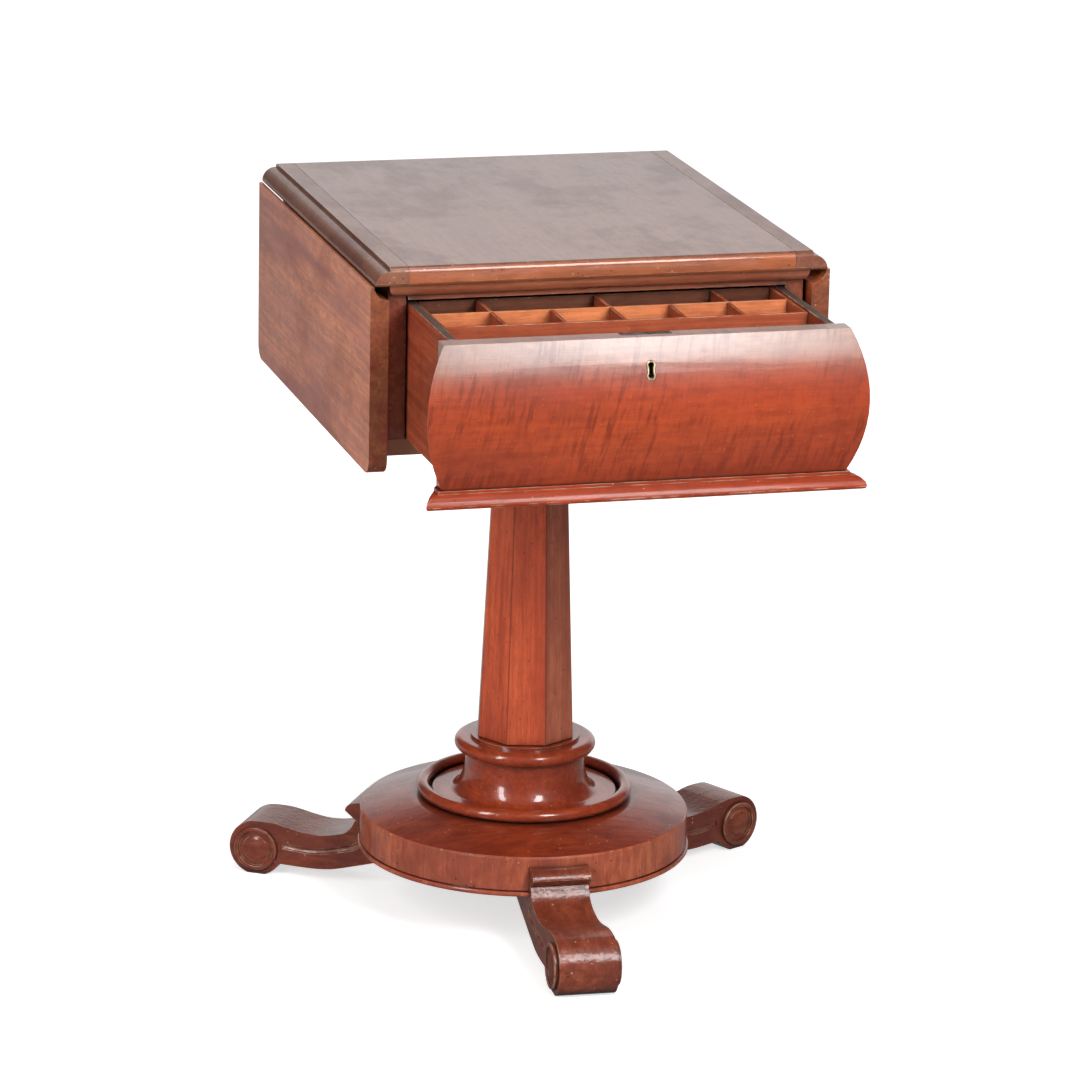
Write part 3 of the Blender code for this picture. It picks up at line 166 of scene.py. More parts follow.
class TableStudio(bpy.types.PropertyGroup):
    """Lamps, floor and lens."""

    lens: level_property("Lens", "Focal length in millimetres", 175.53)
    world_level: level_property("Room light", "Soft light from all round", 0.16)
    left_power: level_property("Left softbox", "Power of the left softbox", 26.0)
    top_power: level_property("Top softbox", "Power of the softbox overhead", 12.5)
    right_power: level_property("Right softbox", "Power of the right softbox", 17.5)
    key_power: level_property("Key lamp", "Power of the lamp without a reflection", 4.5)
    back_power: level_property("Back lamp", "Power of the lamp behind the table", 9.0)
    left_size: lamp_size_property("Left softbox size", "Width and height of the left softbox", (0.4, 1.5))
    top_size: lamp_size_property("Top softbox size", "Width and height of the top softbox", (0.9, 0.9))
    right_size: lamp_size_property("Right softbox size", "Width and height of the right softbox", (0.4, 0.7))
    left_distance: length_property("Left softbox distance", "From the table to the left softbox", 2.2)
    right_distance: length_property("Right softbox distance", "From the table to the right softbox", 1.75)
    top_distance: length_property("Top softbox distance", "From the table to the top softbox", 2.0)
    floor_colour: colour_property("Floor", "Pale studio floor", (0.80, 0.80, 0.80))
    floor_glow: level_property("Floor glow", "White added to the floor as seen", 0.64)


def plain_mesh(piece):
    """The evaluated mesh of an object, with its modifiers made real."""
    depsgraph = bpy.context.evaluated_depsgraph_get()
    depsgraph.update()
    mesh = bpy.data.meshes.new_from_object(piece.evaluated_get(depsgraph), preserve_all_data_layers=True,
                                           depsgraph=depsgraph)
    piece.modifiers.clear()
    piece.data = mesh
    return mesh


def bend_steps(work, steps, places):
    """Splits each of some edges in the middle and moves the new point to its place."""
    if not steps:
        return
    middles = KDTree(len(steps))
    for index, edge in enumerate(steps):
        middles.insert((edge.verts[0].co + edge.verts[1].co) / 2, index)
    middles.balance()
    bmesh.ops.subdivide_edges(work, edges=steps, cuts=1)
    for vert in work.verts:
        spot, index, distance = middles.find(vert.co)
        if distance < MERGE_DISTANCE:
            vert.co = places[index]


def round_out(work, axis, centre):
    """Puts a point in the middle of each step round a turned piece, on the true circle."""
    steps = []
    places = []
    for edge in work.edges:
        first, second = (vert.co - centre for vert in edge.verts)
        reach = (first - axis * first.dot(axis)).length
        other = (second - axis * second.dot(axis)).length
        level = abs(first.dot(axis) - second.dot(axis)) < CIRCLE_TOLERANCE
        if level and abs(reach - other) < CIRCLE_TOLERANCE and edge.calc_length() < LONGEST_STEP * reach:
            along = axis * first.dot(axis)
            steps.append(edge)
            places.append(centre + along + ((first + second) / 2 - along).normalized() * reach)
    bend_steps(work, steps, places)


def on_outline(edge, axis):
    """Whether an edge lies between a flat side of a sawn piece and its sawn face."""
    shares = sorted(abs(face.normal.dot(axis)) for face in edge.link_faces)
    return len(shares) == 2 and shares[0] < ACROSS_SHARE and shares[1] > ALONG_SHARE


def run_on(edge, near, outline):
    """Direction of a smooth line along an edge at one of its ends, towards the other end."""
    far = edge.other_vert(near)
    ahead = far.co - near.co
    others = [entry for entry in near.link_edges if entry in outline and entry is not edge]
    if len(others) == 1:
        behind = near.co - others[0].other_vert(near).co
        if behind.angle(ahead) < OUTLINE_TURN:
            return (behind.normalized() * ahead.length + ahead.normalized() * behind.length).normalized()
    return ahead.normalized()


def soften_outline(work, axis):
    """Puts a point in the middle of each step of a sawn outline, on a smooth line past its neighbours."""
    work.normal_update()
    steps = [edge for edge in work.edges if on_outline(edge, axis)]
    outline = set(steps)
    places = []
    for edge in steps:
        first, second = edge.verts
        swing = run_on(edge, first, outline) + run_on(edge, second, outline)
        places.append((first.co + second.co) / 2 + swing * edge.calc_length() / 8)
    bend_steps(work, steps, places)


def mean_point(node):
    """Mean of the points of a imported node, which lies on the axle of a turned piece."""
    points = {tuple(vert.co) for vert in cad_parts[node].data.vertices}
    return sum((Vector(point) for point in points), Vector()) / len(points)


def merged_copy(node, axis=None, centre=None, sawn=None):
    """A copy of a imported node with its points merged, its flat faces whole and its curves true."""
    mesh = bpy.data.meshes.new(node + "_finished")
    work = bmesh.new()
    work.from_mesh(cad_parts[node].data)
    bmesh.ops.remove_doubles(work, verts=work.verts, dist=MERGE_DISTANCE)
    bmesh.ops.dissolve_limit(work, angle_limit=FLAT_ANGLE, verts=work.verts, edges=work.edges)
    for turn in range(ROUNDINGS):
        if axis:
            round_out(work, axis, centre or sum(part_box(node), Vector()) / 2)
        if sawn:
            soften_outline(work, sawn)
    if sawn:
        bmesh.ops.dissolve_limit(work, angle_limit=FLAT_ANGLE, verts=work.verts, edges=work.edges)
    work.to_mesh(mesh)
    work.free()
    for stored in [entry.name for entry in mesh.attributes if not entry.is_required]:
        mesh.attributes.remove(mesh.attributes[stored])
    mesh.materials.clear()
    return mesh


def drop_slivers(mesh):
    """Takes out edges that a tight bevel has left without length."""
    work = bmesh.new()
    work.from_mesh(mesh)
    bmesh.ops.dissolve_degenerate(work, dist=MERGE_DISTANCE, edges=work.edges)
    work.to_mesh(mesh)
    work.free()


def grain_frame(along):
    """Rows that turn a place into (along the grain, across it, into it)."""
    along = along.normalized()
    helper = Z_AXIS if abs(along.z) < 0.9 else Y_AXIS
    across = helper.cross(along).normalized()
    return Matrix((along, across, along.cross(across)))


def upright(normal):
    """Share of edge veneer on a face: all of it round a flat piece."""
    return 1.0 if abs(normal.z) < STEEP else 0.0


def sideways(normal):
    """Share of painted shade on a face: all of it on the sideways faces of the rounded joint, none on its
    ends.
    """
    return 1.0 if abs(normal.x) > 0.5 else 0.0


def column_facet(normal):
    """Share of brown tint on a facet, set by which way the facet faces: most on the facets facing front
    right and back left.
    """
    if abs(normal.z) > STEEP:
        return 0.0
    return 0.5 + 0.5 * math.sin(2.0 * math.atan2(normal.x, -normal.y) - 0.2)


def endwise(normal):
    """Share of dark edge on a face: all of it at the front and back of a leaf."""
    return 1.0 if abs(normal.y) > 0.5 else 0.0


def faces_up(normal):
    """Share of dust and painted sheen on a face: all of it on faces that look up."""
    return 1.0 if normal.z > 0.8 else 0.0


def lay_grain(mesh, along, number, marked=None, rim_along=None):
    """Stores on each corner where it lies in the piece's own grain, and how worn its edge is.

    Faces to which marked gives a share get another colour and grain along rim_along: an edge veneer, dust
    with painted sheen, painted shade or a facing tint.
    """
    rows = grain_frame(along)
    rim_rows = grain_frame(rim_along) if rim_along else rows
    shift = Vector([number * part for part in GRAIN_SHIFT])
    places = [0.0] * (3 * len(mesh.loops))
    wear = [0.0] * len(mesh.loops)
    rims = [0.0] * len(mesh.loops)
    for polygon in mesh.polygons:
        share = marked(polygon.normal) if marked else 0.0
        used = rim_rows if share else rows
        rubbed = 1.0 if polygon.material_index == 1 else 0.0
        for corner in polygon.loop_indices:
            place = mesh.vertices[mesh.loops[corner].vertex_index].co
            places[3 * corner:3 * corner + 3] = used @ place + shift
            wear[corner] = rubbed
            rims[corner] = share
        polygon.material_index = 0
    mesh.attributes.new("grain", "FLOAT_VECTOR", "CORNER").data.foreach_set("vector", places)
    mesh.attributes.new("worn", "FLOAT", "CORNER").data.foreach_set("value", wear)
    mesh.attributes.new("rim", "FLOAT", "CORNER").data.foreach_set("value", rims)


def finish_piece(node, body, material, along, arris, number, axis=None, marked=None, rim_along=None,
                 centre=None, sawn=None):
    """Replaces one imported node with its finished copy; a turned or sawn piece gives its axis."""
    piece = bpy.data.objects.new(node + "_finished", merged_copy(node, axis, centre, sawn))
    bpy.context.scene.collection.objects.link(piece)
    for unused in range(2):
        piece.data.materials.append(material)
    bevel = piece.modifiers.new("rubbed edges", "BEVEL")
    bevel.width = arris
    bevel.segments = 2
    bevel.limit_method = "ANGLE"
    bevel.angle_limit = SHARP_ANGLE
    bevel.material = 1
    for polygon in piece.data.polygons:
        polygon.use_smooth = True
    mesh = plain_mesh(piece)
    drop_slivers(mesh)
    mesh.set_sharp_from_angle(angle=SHARP_ANGLE)
    piece.modifiers.new("flat faces", "WEIGHTED_NORMAL").keep_sharp = True
    mesh = plain_mesh(piece)
    lay_grain(mesh, along, number, marked, rim_along)
    mesh.materials.pop(index=1)
    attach(piece, body)
    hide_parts(node)


class Nodes:
    """Nodes of one tree, added and linked one at a time."""

    def __init__(self, tree):
        self.tree = tree
        self.tree.nodes.clear()

    def node(self, kind, inputs, output=0, **settings):
        """One node with its settings and inputs; gives back the named output."""
        made = self.tree.nodes.new(kind)
        for key, value in settings.items():
            setattr(made, key, value)
        for key, value in inputs.items():
            socket = made.inputs[key]
            if isinstance(value, bpy.types.NodeSocket):
                self.tree.links.new(value, socket)
            elif isinstance(value, (int, float, str)):
                socket.default_value = value
            else:
                filled = tuple(value)
                if len(filled) == 3 and len(socket.default_value) == 4:
                    filled += (1.0,)
                socket.default_value = filled
        return made.outputs[output] if made.outputs else None

    def attribute(self, name, output):
        """A value that is stored on the piece."""
        return self.node("ShaderNodeAttribute", {}, output, attribute_name=name)

    def vector(self, operation, first, second):
        """One step of vector arithmetic."""
        return self.node("ShaderNodeVectorMath", {0: first, 1: second}, operation=operation)

    def number(self, operation, first, second=0.0):
        """One step of arithmetic, kept between 0 and 1."""
        return self.node("ShaderNodeMath", {0: first, 1: second}, operation=operation, use_clamp=True)

    def noise(self, place, stretch, detail=3.0, roughness=0.55, output=0):
        """Noise on a stretched place, in features per metre."""
        spread = self.vector("MULTIPLY", place, stretch)
        return self.node("ShaderNodeTexNoise", {"Vector": spread, "Scale": 1.0, "Detail": detail,
                                                "Roughness": roughness}, output)

    def step(self, value, low, high):
        """A smooth step from 0 at low to 1 at high."""
        return self.node("ShaderNodeMapRange", {"Value": value, "From Min": low, "From Max": high},
                         interpolation_type="SMOOTHSTEP")

    def mix(self, share, first, second, blend="MIX"):
        """A mix of two colours."""
        return self.node("ShaderNodeMix", {0: share, 6: first, 7: second}, 2, data_type="RGBA",
                         blend_type=blend)

    def layer(self, under, mask, amount, colour):
        """A colour laid over another by some amount where a mask is."""
        return self.mix(self.number("MULTIPLY", mask, amount), under, colour)


class Recipe(Nodes):
    """Nodes of one material."""

    def __init__(self, name):
        self.material = bpy.data.materials.new(name)
        self.material.use_nodes = True
        super().__init__(self.material.node_tree)

    def finish(self, inputs):
        """The surface itself."""
        surface = self.node("ShaderNodeBsdfPrincipled", inputs)
        self.node("ShaderNodeOutputMaterial", {"Surface": surface})
        return self.material


def tone(colour, red, green, blue):
    """A colour with each channel made darker or lighter."""
    return tuple(min(1.0, channel * factor) for channel, factor in zip(colour, (red, green, blue)))


def shade(colour, factor):
    """A colour made darker or lighter."""
    return tone(colour, factor, factor, factor)


def leaning_flecks(recipe, grain, lean):
    """Short dark strokes that lean across the grain and stand in clusters."""
    leaning = recipe.node("ShaderNodeVectorRotate", {"Vector": grain, "Angle": lean},
                          rotation_type="Y_AXIS")
    stroke = recipe.step(recipe.noise(leaning, (190.0, 12.0, 26.0), 4.0, 0.6), 0.48, 0.66)
    cluster = recipe.step(recipe.noise(grain, (7.0, 8.0, 22.0), 3.0), 0.34, 0.58)
    strong = recipe.number("MULTIPLY", stroke, cluster)
    hatch = recipe.step(recipe.noise(leaning, (330.0, 20.0, 60.0), 2.0), 0.50, 0.70)
    return recipe.number("MAXIMUM", strong, recipe.number("MULTIPLY", hatch, 0.35))


def edge_wear(recipe, grain):
    """Where a rubbed edge shows: the edge itself, broken into short lengths."""
    broken = recipe.step(recipe.noise(grain, (60.0, 90.0, 90.0), 4.0), 0.40, 0.62)
    return recipe.number("MULTIPLY", recipe.attribute("worn", "Fac"), broken)


def scattered_specks(recipe, grain):
    """Pale chips and dark spots, a few to each square inch."""
    spots = recipe.node("ShaderNodeTexVoronoi", {"Vector": grain, "Scale": 210.0}, "Distance")
    colours = recipe.node("ShaderNodeTexVoronoi", {"Vector": grain, "Scale": 210.0}, "Color")
    chance = recipe.node("ShaderNodeSeparateXYZ", {"Vector": colours}, "X")
    small = recipe.step(spots, 0.30, 0.10)
    pale = recipe.number("MULTIPLY", recipe.step(chance, 0.90, 0.94), small)
    dark = recipe.number("MULTIPLY", recipe.step(chance, 0.12, 0.07), small)
    return pale, dark


def polished_wood(name, colour, worn_colour, lines=0.5, bands=0.5, flecks=0.0, lean=0.2, patches=0.35,
                  pores=0.4, chips=0.25, spots=0.25, wear=0.6, rim=None, fade=None, mottle=0.3, shade_and_grime=0.85,
                  roughness=0.42, specular=0.4, coat=0.6, coat_roughness=0.14, waves=0.3, dents=0.08,
                  streaks=0.0, unbroken=False, reach=0.012):
    """Mahogany under old polish: fine lines, bands, pores, stains, chips and rubbed edges, with painted
    shade in hollows and, where asked, a painted highlight.
    """
    recipe = Recipe(name)
    grain = recipe.attribute("grain", "Vector")
    wander = recipe.noise(grain, (3.0, 11.0, 11.0), 2.0, output=1)
    centred = recipe.vector("SUBTRACT", wander, (0.5, 0.5, 0.5))
    offset = recipe.vector("MULTIPLY", centred, (0.0, 0.016, 0.016))
    place = recipe.vector("ADD", grain, offset)
    fine = recipe.step(recipe.noise(place, (3.0, 300.0, 300.0), 4.0, 0.62), 0.36, 0.68)
    line = recipe.step(recipe.noise(place, (2.0, 80.0, 80.0), 4.0, 0.60), 0.42, 0.68)
    band = recipe.step(recipe.noise(place, (1.6, 17.0, 17.0), 3.0), 0.38, 0.64)
    patch = recipe.step(recipe.noise(grain, (8.0, 12.0, 12.0), 5.0, 0.62), 0.42, 0.66)
    streak = recipe.step(recipe.noise(place, (2.4, 24.0, 24.0), 4.0, 0.6), 0.50, 0.66)
    pore = recipe.step(recipe.noise(place, (60.0, 1500.0, 1500.0), 2.0), 0.56, 0.70)

    start = colour
    if rim:
        start = recipe.mix(recipe.attribute("rim", "Fac"), colour, rim)
    # Painted highlight: the upper drawer front turns pale, standing for the softbox's reflection.
    if fade:
        spot = recipe.node("ShaderNodeTexCoord", {}, "Object")
        height = recipe.node("ShaderNodeSeparateXYZ", {"Vector": spot}, "Z")
        start = recipe.mix(recipe.step(height, *HIGHLIGHT_HEIGHTS), start, fade)
    deep = recipe.mix(1.0, start, DEEP_TINT, "MULTIPLY")
    bright = recipe.mix(1.0, start, BRIGHT_TINT, "MULTIPLY")
    wood = recipe.layer(start, band, bands, bright)
    wood = recipe.layer(wood, streak, streaks, tone(colour, 0.50, 0.24, 0.22))
    wood = recipe.layer(wood, fine, lines, deep)
    wood = recipe.layer(wood, line, lines, deep)
    if flecks:
        strokes = leaning_flecks(recipe, grain, lean)
        wood = recipe.layer(wood, strokes, flecks, tone(colour, 0.30, 0.24, 0.36))
    wood = recipe.layer(wood, patch, patches, deep)
    wood = recipe.layer(wood, pore, pores, tone(colour, 0.25, 0.22, 0.30))
    cloud = recipe.step(recipe.noise(grain, (50.0, 120.0, 120.0), 4.0, 0.6), 0.42, 0.66)
    wood = recipe.layer(wood, cloud, mottle, deep)
    pale, dark = scattered_specks(recipe, grain)
    wood = recipe.layer(wood, dark, spots, shade(colour, 0.12))
    wood = recipe.layer(wood, pale, chips, worn_colour)
    rubbed = recipe.attribute("worn", "Fac") if unbroken else edge_wear(recipe, grain)
    wood = recipe.layer(wood, rubbed, wear, worn_colour)

    # Painted shade, with some dark wax: ambient occlusion darkens the colour in hollows, creases, joints and
    # under overhangs.
    open_sky = recipe.node("ShaderNodeAmbientOcclusion", {"Distance": reach}, "AO", samples=4)
    shade_and_grime_mask = recipe.step(open_sky, 0.85, 0.30)
    wood = recipe.layer(wood, shade_and_grime_mask, shade_and_grime, SHADE_AND_GRIME_COLOUR)

    dull = recipe.node("ShaderNodeMapRange", {"Value": patch, "To Min": roughness,
                                              "To Max": roughness + 0.12})
    swell = recipe.node("ShaderNodeBump", {"Height": recipe.noise(grain, (14.0, 30.0, 30.0), 2.0),
                                           "Strength": waves, "Distance": 0.0015})
    dented = recipe.node("ShaderNodeBump", {"Height": recipe.noise(grain, (170.0, 230.0, 230.0), 3.0),
                                            "Strength": dents, "Distance": 0.0008, "Normal": swell})
    open_grain = recipe.number("MAXIMUM", pore, recipe.number("MULTIPLY", fine, 0.5))
    filled = recipe.number("SUBTRACT", 1.0, open_grain)
    bump = recipe.node("ShaderNodeBump", {"Height": filled, "Strength": 0.30, "Distance": 0.0002,
                                          "Normal": dented})
    skin = recipe.node("ShaderNodeBump", {"Height": filled, "Strength": 0.10, "Distance": 0.0001,
                                          "Normal": dented})
    return recipe.finish({"Base Color": wood, "Roughness": dull, "Specular IOR Level": specular,
                          "Coat Weight": coat, "Coat Roughness": coat_roughness, "Normal": bump,
                          "Coat Normal": skin})


def aged_metal(name, colour, tarnish_colour, roughness):
    """Old metal with tarnish in patches and fine scratches."""
    recipe = Recipe(name)
    place = recipe.node("ShaderNodeTexCoord", {}, "Object")
    tarnish = recipe.step(recipe.noise(place, (180.0, 180.0, 180.0), 4.0), 0.42, 0.66)
    scratch = recipe.noise(place, (300.0, 2400.0, 2400.0), 2.0)
    worn = recipe.attribute("worn", "Fac")
    metal = recipe.layer(colour, tarnish, 0.8, tarnish_colour)
    metal = recipe.layer(metal, worn, 0.6, shade(colour, 1.2))
    dull = recipe.node("ShaderNodeMapRange", {"Value": tarnish, "To Min": roughness,
                                              "To Max": roughness + 0.25})
    bump = recipe.node("ShaderNodeBump", {"Height": scratch, "Strength": 0.15, "Distance": 0.0001})
    return recipe.finish({"Base Color": metal, "Metallic": 1.0, "Roughness": dull, "Normal": bump})


WOODS = {
    "polished_top": ("top_wood", dict(
        lines=0.20, bands=0.4, patches=0.42, chips=0.5, spots=0.8, wear=0.6, rim="edge_wood",
        roughness=0.40, coat=0.7, coat_roughness=0.09, streaks=0.15)),
    # Painted shade on the sideways faces of the joint.
    "rule_mahogany": ("top_wood", dict(
        lines=0.25, bands=0.4, patches=0.42, chips=0.5, spots=0.7, wear=0.7, rim="rule_wood",
        roughness=0.38, specular=0.2, coat=0.6, coat_roughness=0.08)),
    "polished_leaf": ("leaf_wood", dict(
        lines=0.45, bands=0.8, streaks=0.85, patches=0.4, mottle=0.45, chips=0.6, spots=0.6, wear=0.8,
        rim="leaf_edge", roughness=0.46, specular=0.3, coat=0.4, coat_roughness=0.20)),
    # Painted highlight on the upper part; dust and painted sheen on faces that look up.
    "figured_front": ("front_wood", dict(
        lines=0.18, bands=0.5, flecks=0.62, lean=-0.22, patches=0.35, pores=0.25, chips=0.1, spots=0.2,
        wear=0.5, rim="dusty_edge", fade="faded_wood", roughness=0.36, specular=0.25, coat=1.0,
        coat_roughness=0.26)),
    "moulding_mahogany": ("front_wood", dict(
        lines=0.40, bands=0.5, patches=0.40, chips=0.5, spots=0.5, wear=0.6, roughness=0.40, specular=0.2,
        coat=0.28, coat_roughness=0.15)),
    "frame_mahogany": ("frame_wood", dict(lines=0.5, patches=0.45, spots=0.4, wear=0.45, coat=0.4)),
    # Painted shadow: full-strength darkening of hollows with twice the usual reach, a dark band under the
    # top's moulded edge.
    "rail_mahogany": ("rail_wood", dict(
        lines=0.4, patches=0.35, spots=0.4, wear=0.5, shade_and_grime=1.0, reach=0.024, coat=0.8)),
    # Facets tinted by which way they face.
    "column_mahogany": ("column_wood", dict(
        lines=0.38, bands=0.5, patches=0.30, spots=0.6, chips=0.2, wear=0.6, unbroken=True,
        edge="dark_line", rim="brown_veneer", roughness=0.38, specular=0.3, coat=0.5, coat_roughness=0.12,
        waves=0.2)),
    "turned_mahogany": ("turned_wood", dict(
        lines=0.45, bands=0.6, patches=0.55, spots=0.7, chips=0.4, wear=0.5, roughness=0.34, specular=0.3,
        coat=1.0, coat_roughness=0.10, waves=0.25)),
    "platform_mahogany": ("platform_wood", dict(
        lines=0.35, bands=0.45, patches=0.75, mottle=0.5, spots=0.8, chips=0.5, wear=0.6, rim="rim_wood",
        roughness=0.34, specular=0.3, coat=0.75, coat_roughness=0.09, waves=0.25)),
    "foot_mahogany": ("foot_wood", dict(
        lines=0.45, patches=0.75, mottle=0.55, spots=0.8, chips=0.8, wear=0.6, roughness=0.42,
        specular=0.3, coat=0.75, coat_roughness=0.16, dents=0.7)),
    "tray_wood": ("tray_wood", dict(
        lines=0.40, patches=0.3, chips=0.2, wear=0.9, shade_and_grime=0.5, roughness=0.6, specular=0.2, coat=0.05,
        coat_roughness=0.4)),
    # Painted light: a paler copy of the tray wood.
    "bright_tray_wood": ("bright_tray_wood", dict(
        lines=0.35, patches=0.25, wear=0.9, shade_and_grime=0.5, roughness=0.6, specular=0.2, coat=0.0)),
    # Dust and painted sheen on the sides' upper edges.
    "drawer_side_wood": ("tray_wood", dict(
        lines=0.60, patches=0.75, spots=0.5, chips=0.2, wear=0.6, rim="dusty_edge", roughness=0.6,
        specular=0.2, coat=0.05, coat_roughness=0.4)),
    # Painted shade: a dark copy of the tray wood.
    "dark_tray_wood": ("dark_tray_wood", dict(
        lines=0.35, patches=0.2, wear=0.2, roughness=0.6, specular=0.2, coat=0.0)),
    "carcase_wood": ("carcase_wood", dict(
        lines=0.5, patches=0.5, wear=0.3, roughness=0.7, specular=0.2, coat=0.0)),
}
METALS = {
    "aged_brass": ("brass", (0.20, 0.13, 0.06), 0.42),
    "dark_iron": ("iron", (0.05, 0.04, 0.03), 0.42),
}


def finish(name):
    """The material of one finish, made once."""
    made = bpy.data.materials.get(name)
    if made:
        return made
    colours = bpy.context.scene.table_colours
    if name in METALS:
        colour, tarnish, roughness = METALS[name]
        return aged_metal(name, tuple(getattr(colours, colour)), tarnish, roughness)
    colour, look = WOODS[name]
    look = dict(look)
    worn = look.pop("edge", "worn_wood")
    for layer in ("rim", "fade"):
        if layer in look:
            look[layer] = tuple(getattr(colours, look[layer]))
    return polished_wood(name, tuple(getattr(colours, colour)), tuple(getattr(colours, worn)), **look)


def sizes():
    """The sizes of the present scene."""
    return bpy.context.scene.table_sizes


class TABLE_OT_base(bpy.types.Operator):
    """Finish the platform, its ring, the socle, the column and the three scroll feet"""

    bl_idname = "work_table.base"
    bl_label = "Column and Base"

    def execute(self, context):
        arris = sizes().board_arris
        platform = finish("platform_mahogany")
        turned = finish("turned_mahogany")
        finish_piece("platform", "stand", platform, X_AXIS, arris, 1, Z_AXIS, upright, Z_AXIS)
        finish_piece("platform_ring", "stand", turned, X_AXIS, arris, 2, Z_AXIS)
        finish_piece("socle", "stand", turned, Y_AXIS, sizes().tray_arris, 3, Z_AXIS)
        finish_piece("column", "stand", finish("column_mahogany"), Z_AXIS, arris, 4,
                     marked=column_facet)
        for number, foot in enumerate(FEET):
            low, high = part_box(f"foot_{foot}")
            middle = (low + high) / 2
            outward = Vector((middle.x, middle.y, 0.0))
            wood = finish("foot_mahogany")
            ends = [mean_point(f"foot_{foot}_roundel_{side}") for side in SIDES]
            axle = (ends[1] - ends[0]).normalized()
            finish_piece(f"foot_{foot}", "stand", wood, outward, sizes().foot_arris, 5 + number,
                         sawn=axle)
            for turn, side in enumerate(SIDES):
                finish_piece(f"foot_{foot}_roundel_{side}", "stand", wood, outward,
                             sizes().tray_arris, 10 + 2 * number + turn, axle, centre=ends[turn])
        return {"FINISHED"}


class TABLE_OT_carcase(bpy.types.Operator):
    """Finish the carcase boards, rails, false front, mouldings and leaf brackets"""

    bl_idname = "work_table.carcase"
    bl_label = "Carcase"

    def execute(self, context):
        arris = sizes().board_arris
        wood = finish("frame_mahogany")
        plain = finish("carcase_wood")
        figured = finish("figured_front")
        finish_piece("column_block", "stand", wood, X_AXIS, arris, 20)
        finish_piece("carcase_bottom", "stand", plain, X_AXIS, arris, 21)
        finish_piece("carcase_back", "stand", plain, X_AXIS, arris, 22)
        finish_piece("front_top_rail", "stand", finish("rail_mahogany"), X_AXIS, arris, 23)
        finish_piece("back_top_rail", "stand", finish("rail_mahogany"), X_AXIS, arris, 24)
        finish_piece("false_front", "stand", figured, X_AXIS, arris, 25,
                     marked=faces_up)
        finish_piece("false_front_moulding", "stand", finish("moulding_mahogany"),
                     X_AXIS, arris, 26)
        for number, side in enumerate(SIDES):
            finish_piece(f"carcase_side_{side}", "stand", wood, Y_AXIS, arris, 27 + number)
            finish_piece(f"leaf_bracket_{side}", "stand", wood, Y_AXIS, arris, 29 + number)
        return {"FINISHED"}


class TABLE_OT_top(bpy.types.Operator):
    """Finish the top, its rule-jointed strips and the two leaves"""

    bl_idname = "work_table.top"
    bl_label = "Top and Leaves"

    def execute(self, context):
        top = finish("polished_top")
        rule = finish("rule_mahogany")
        leaf = finish("polished_leaf")
        seam = sizes().seam_arris
        finish_piece("top_board", "stand", top, Y_AXIS, seam, 31, marked=upright,
                     rim_along=X_AXIS)
        for number, side in enumerate(SIDES):
            finish_piece(f"rule_strip_{side}", "stand", rule, Y_AXIS, seam, 32 + number,
                         marked=sideways)
            finish_piece(f"leaf_{side}", f"leaf_{side}", leaf, Y_AXIS, seam, 34 + number,
                         marked=endwise)
        return {"FINISHED"}


class TABLE_OT_drawer(bpy.types.Operator):
    """Finish the drawer's front, moulding, sides, back and bottom"""

    bl_idname = "work_table.drawer"
    bl_label = "Drawer"

    def execute(self, context):
        arris = sizes().board_arris
        figured = finish("figured_front")
        plain = finish("tray_wood")
        finish_piece("drawer_front", "drawer", figured, X_AXIS, arris, 40,
                     marked=faces_up)
        finish_piece("drawer_moulding", "drawer", finish("moulding_mahogany"), X_AXIS,
                     arris, 41)
        finish_piece("drawer_back", "drawer", plain, X_AXIS, arris, 42)
        finish_piece("drawer_bottom", "drawer", plain, X_AXIS, arris, 43)
        for number, side in enumerate(SIDES):
            finish_piece(f"drawer_side_{side}", "drawer", finish("drawer_side_wood"),
                         Y_AXIS, arris, 44 + number, marked=faces_up)
        return {"FINISHED"}


class TABLE_OT_interior(bpy.types.Operator):
    """Finish the strips and shelf of the fitted tray"""

    bl_idname = "work_table.interior"
    bl_label = "Fitted Interior"

    def execute(self, context):
        arris = sizes().tray_arris
        wood = finish("tray_wood")
        # Painted light on the front partition, painted shade on the rear one.
        special = {"tray_partition_rear": finish("dark_tray_wood"),
                   "tray_partition_front": finish("bright_tray_wood")}
        across = ["tray_front", "tray_partition_front", "tray_partition_rear", "tray_shelf"]
        along = ["tray_lining_left", "tray_lining_right"]
        along += [node for node in sorted(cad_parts) if node.startswith("tray_divider_")]
        for number, node in enumerate(across + along):
            direction = X_AXIS if node in across else Y_AXIS
            finish_piece(node, "drawer", special.get(node, wood), direction, arris,
                         50 + number)
        return {"FINISHED"}


class TABLE_OT_metalwork(bpy.types.Operator):
    """Finish the hinges, the lock and its escutcheon"""

    bl_idname = "work_table.metalwork"
    bl_label = "Hinges and Lock"

    def execute(self, context):
        arris = sizes().metal_arris
        brass = finish("aged_brass")
        iron = finish("dark_iron")
        finish_piece("escutcheon", "drawer", brass, X_AXIS, arris, 70)
        finish_piece("lock_case", "drawer", iron, X_AXIS, arris, 71)
        finish_piece("lock_bolt", "bolt", iron, X_AXIS, arris, 72)
        for side in SIDES:
            for end in ENDS:
                finish_piece(f"hinge_top_{side}_{end}", "stand", brass, Y_AXIS, arris, 73)
                finish_piece(f"hinge_leaf_{side}_{end}", f"leaf_{side}", brass, Y_AXIS, arris, 74)
        return {"FINISHED"}


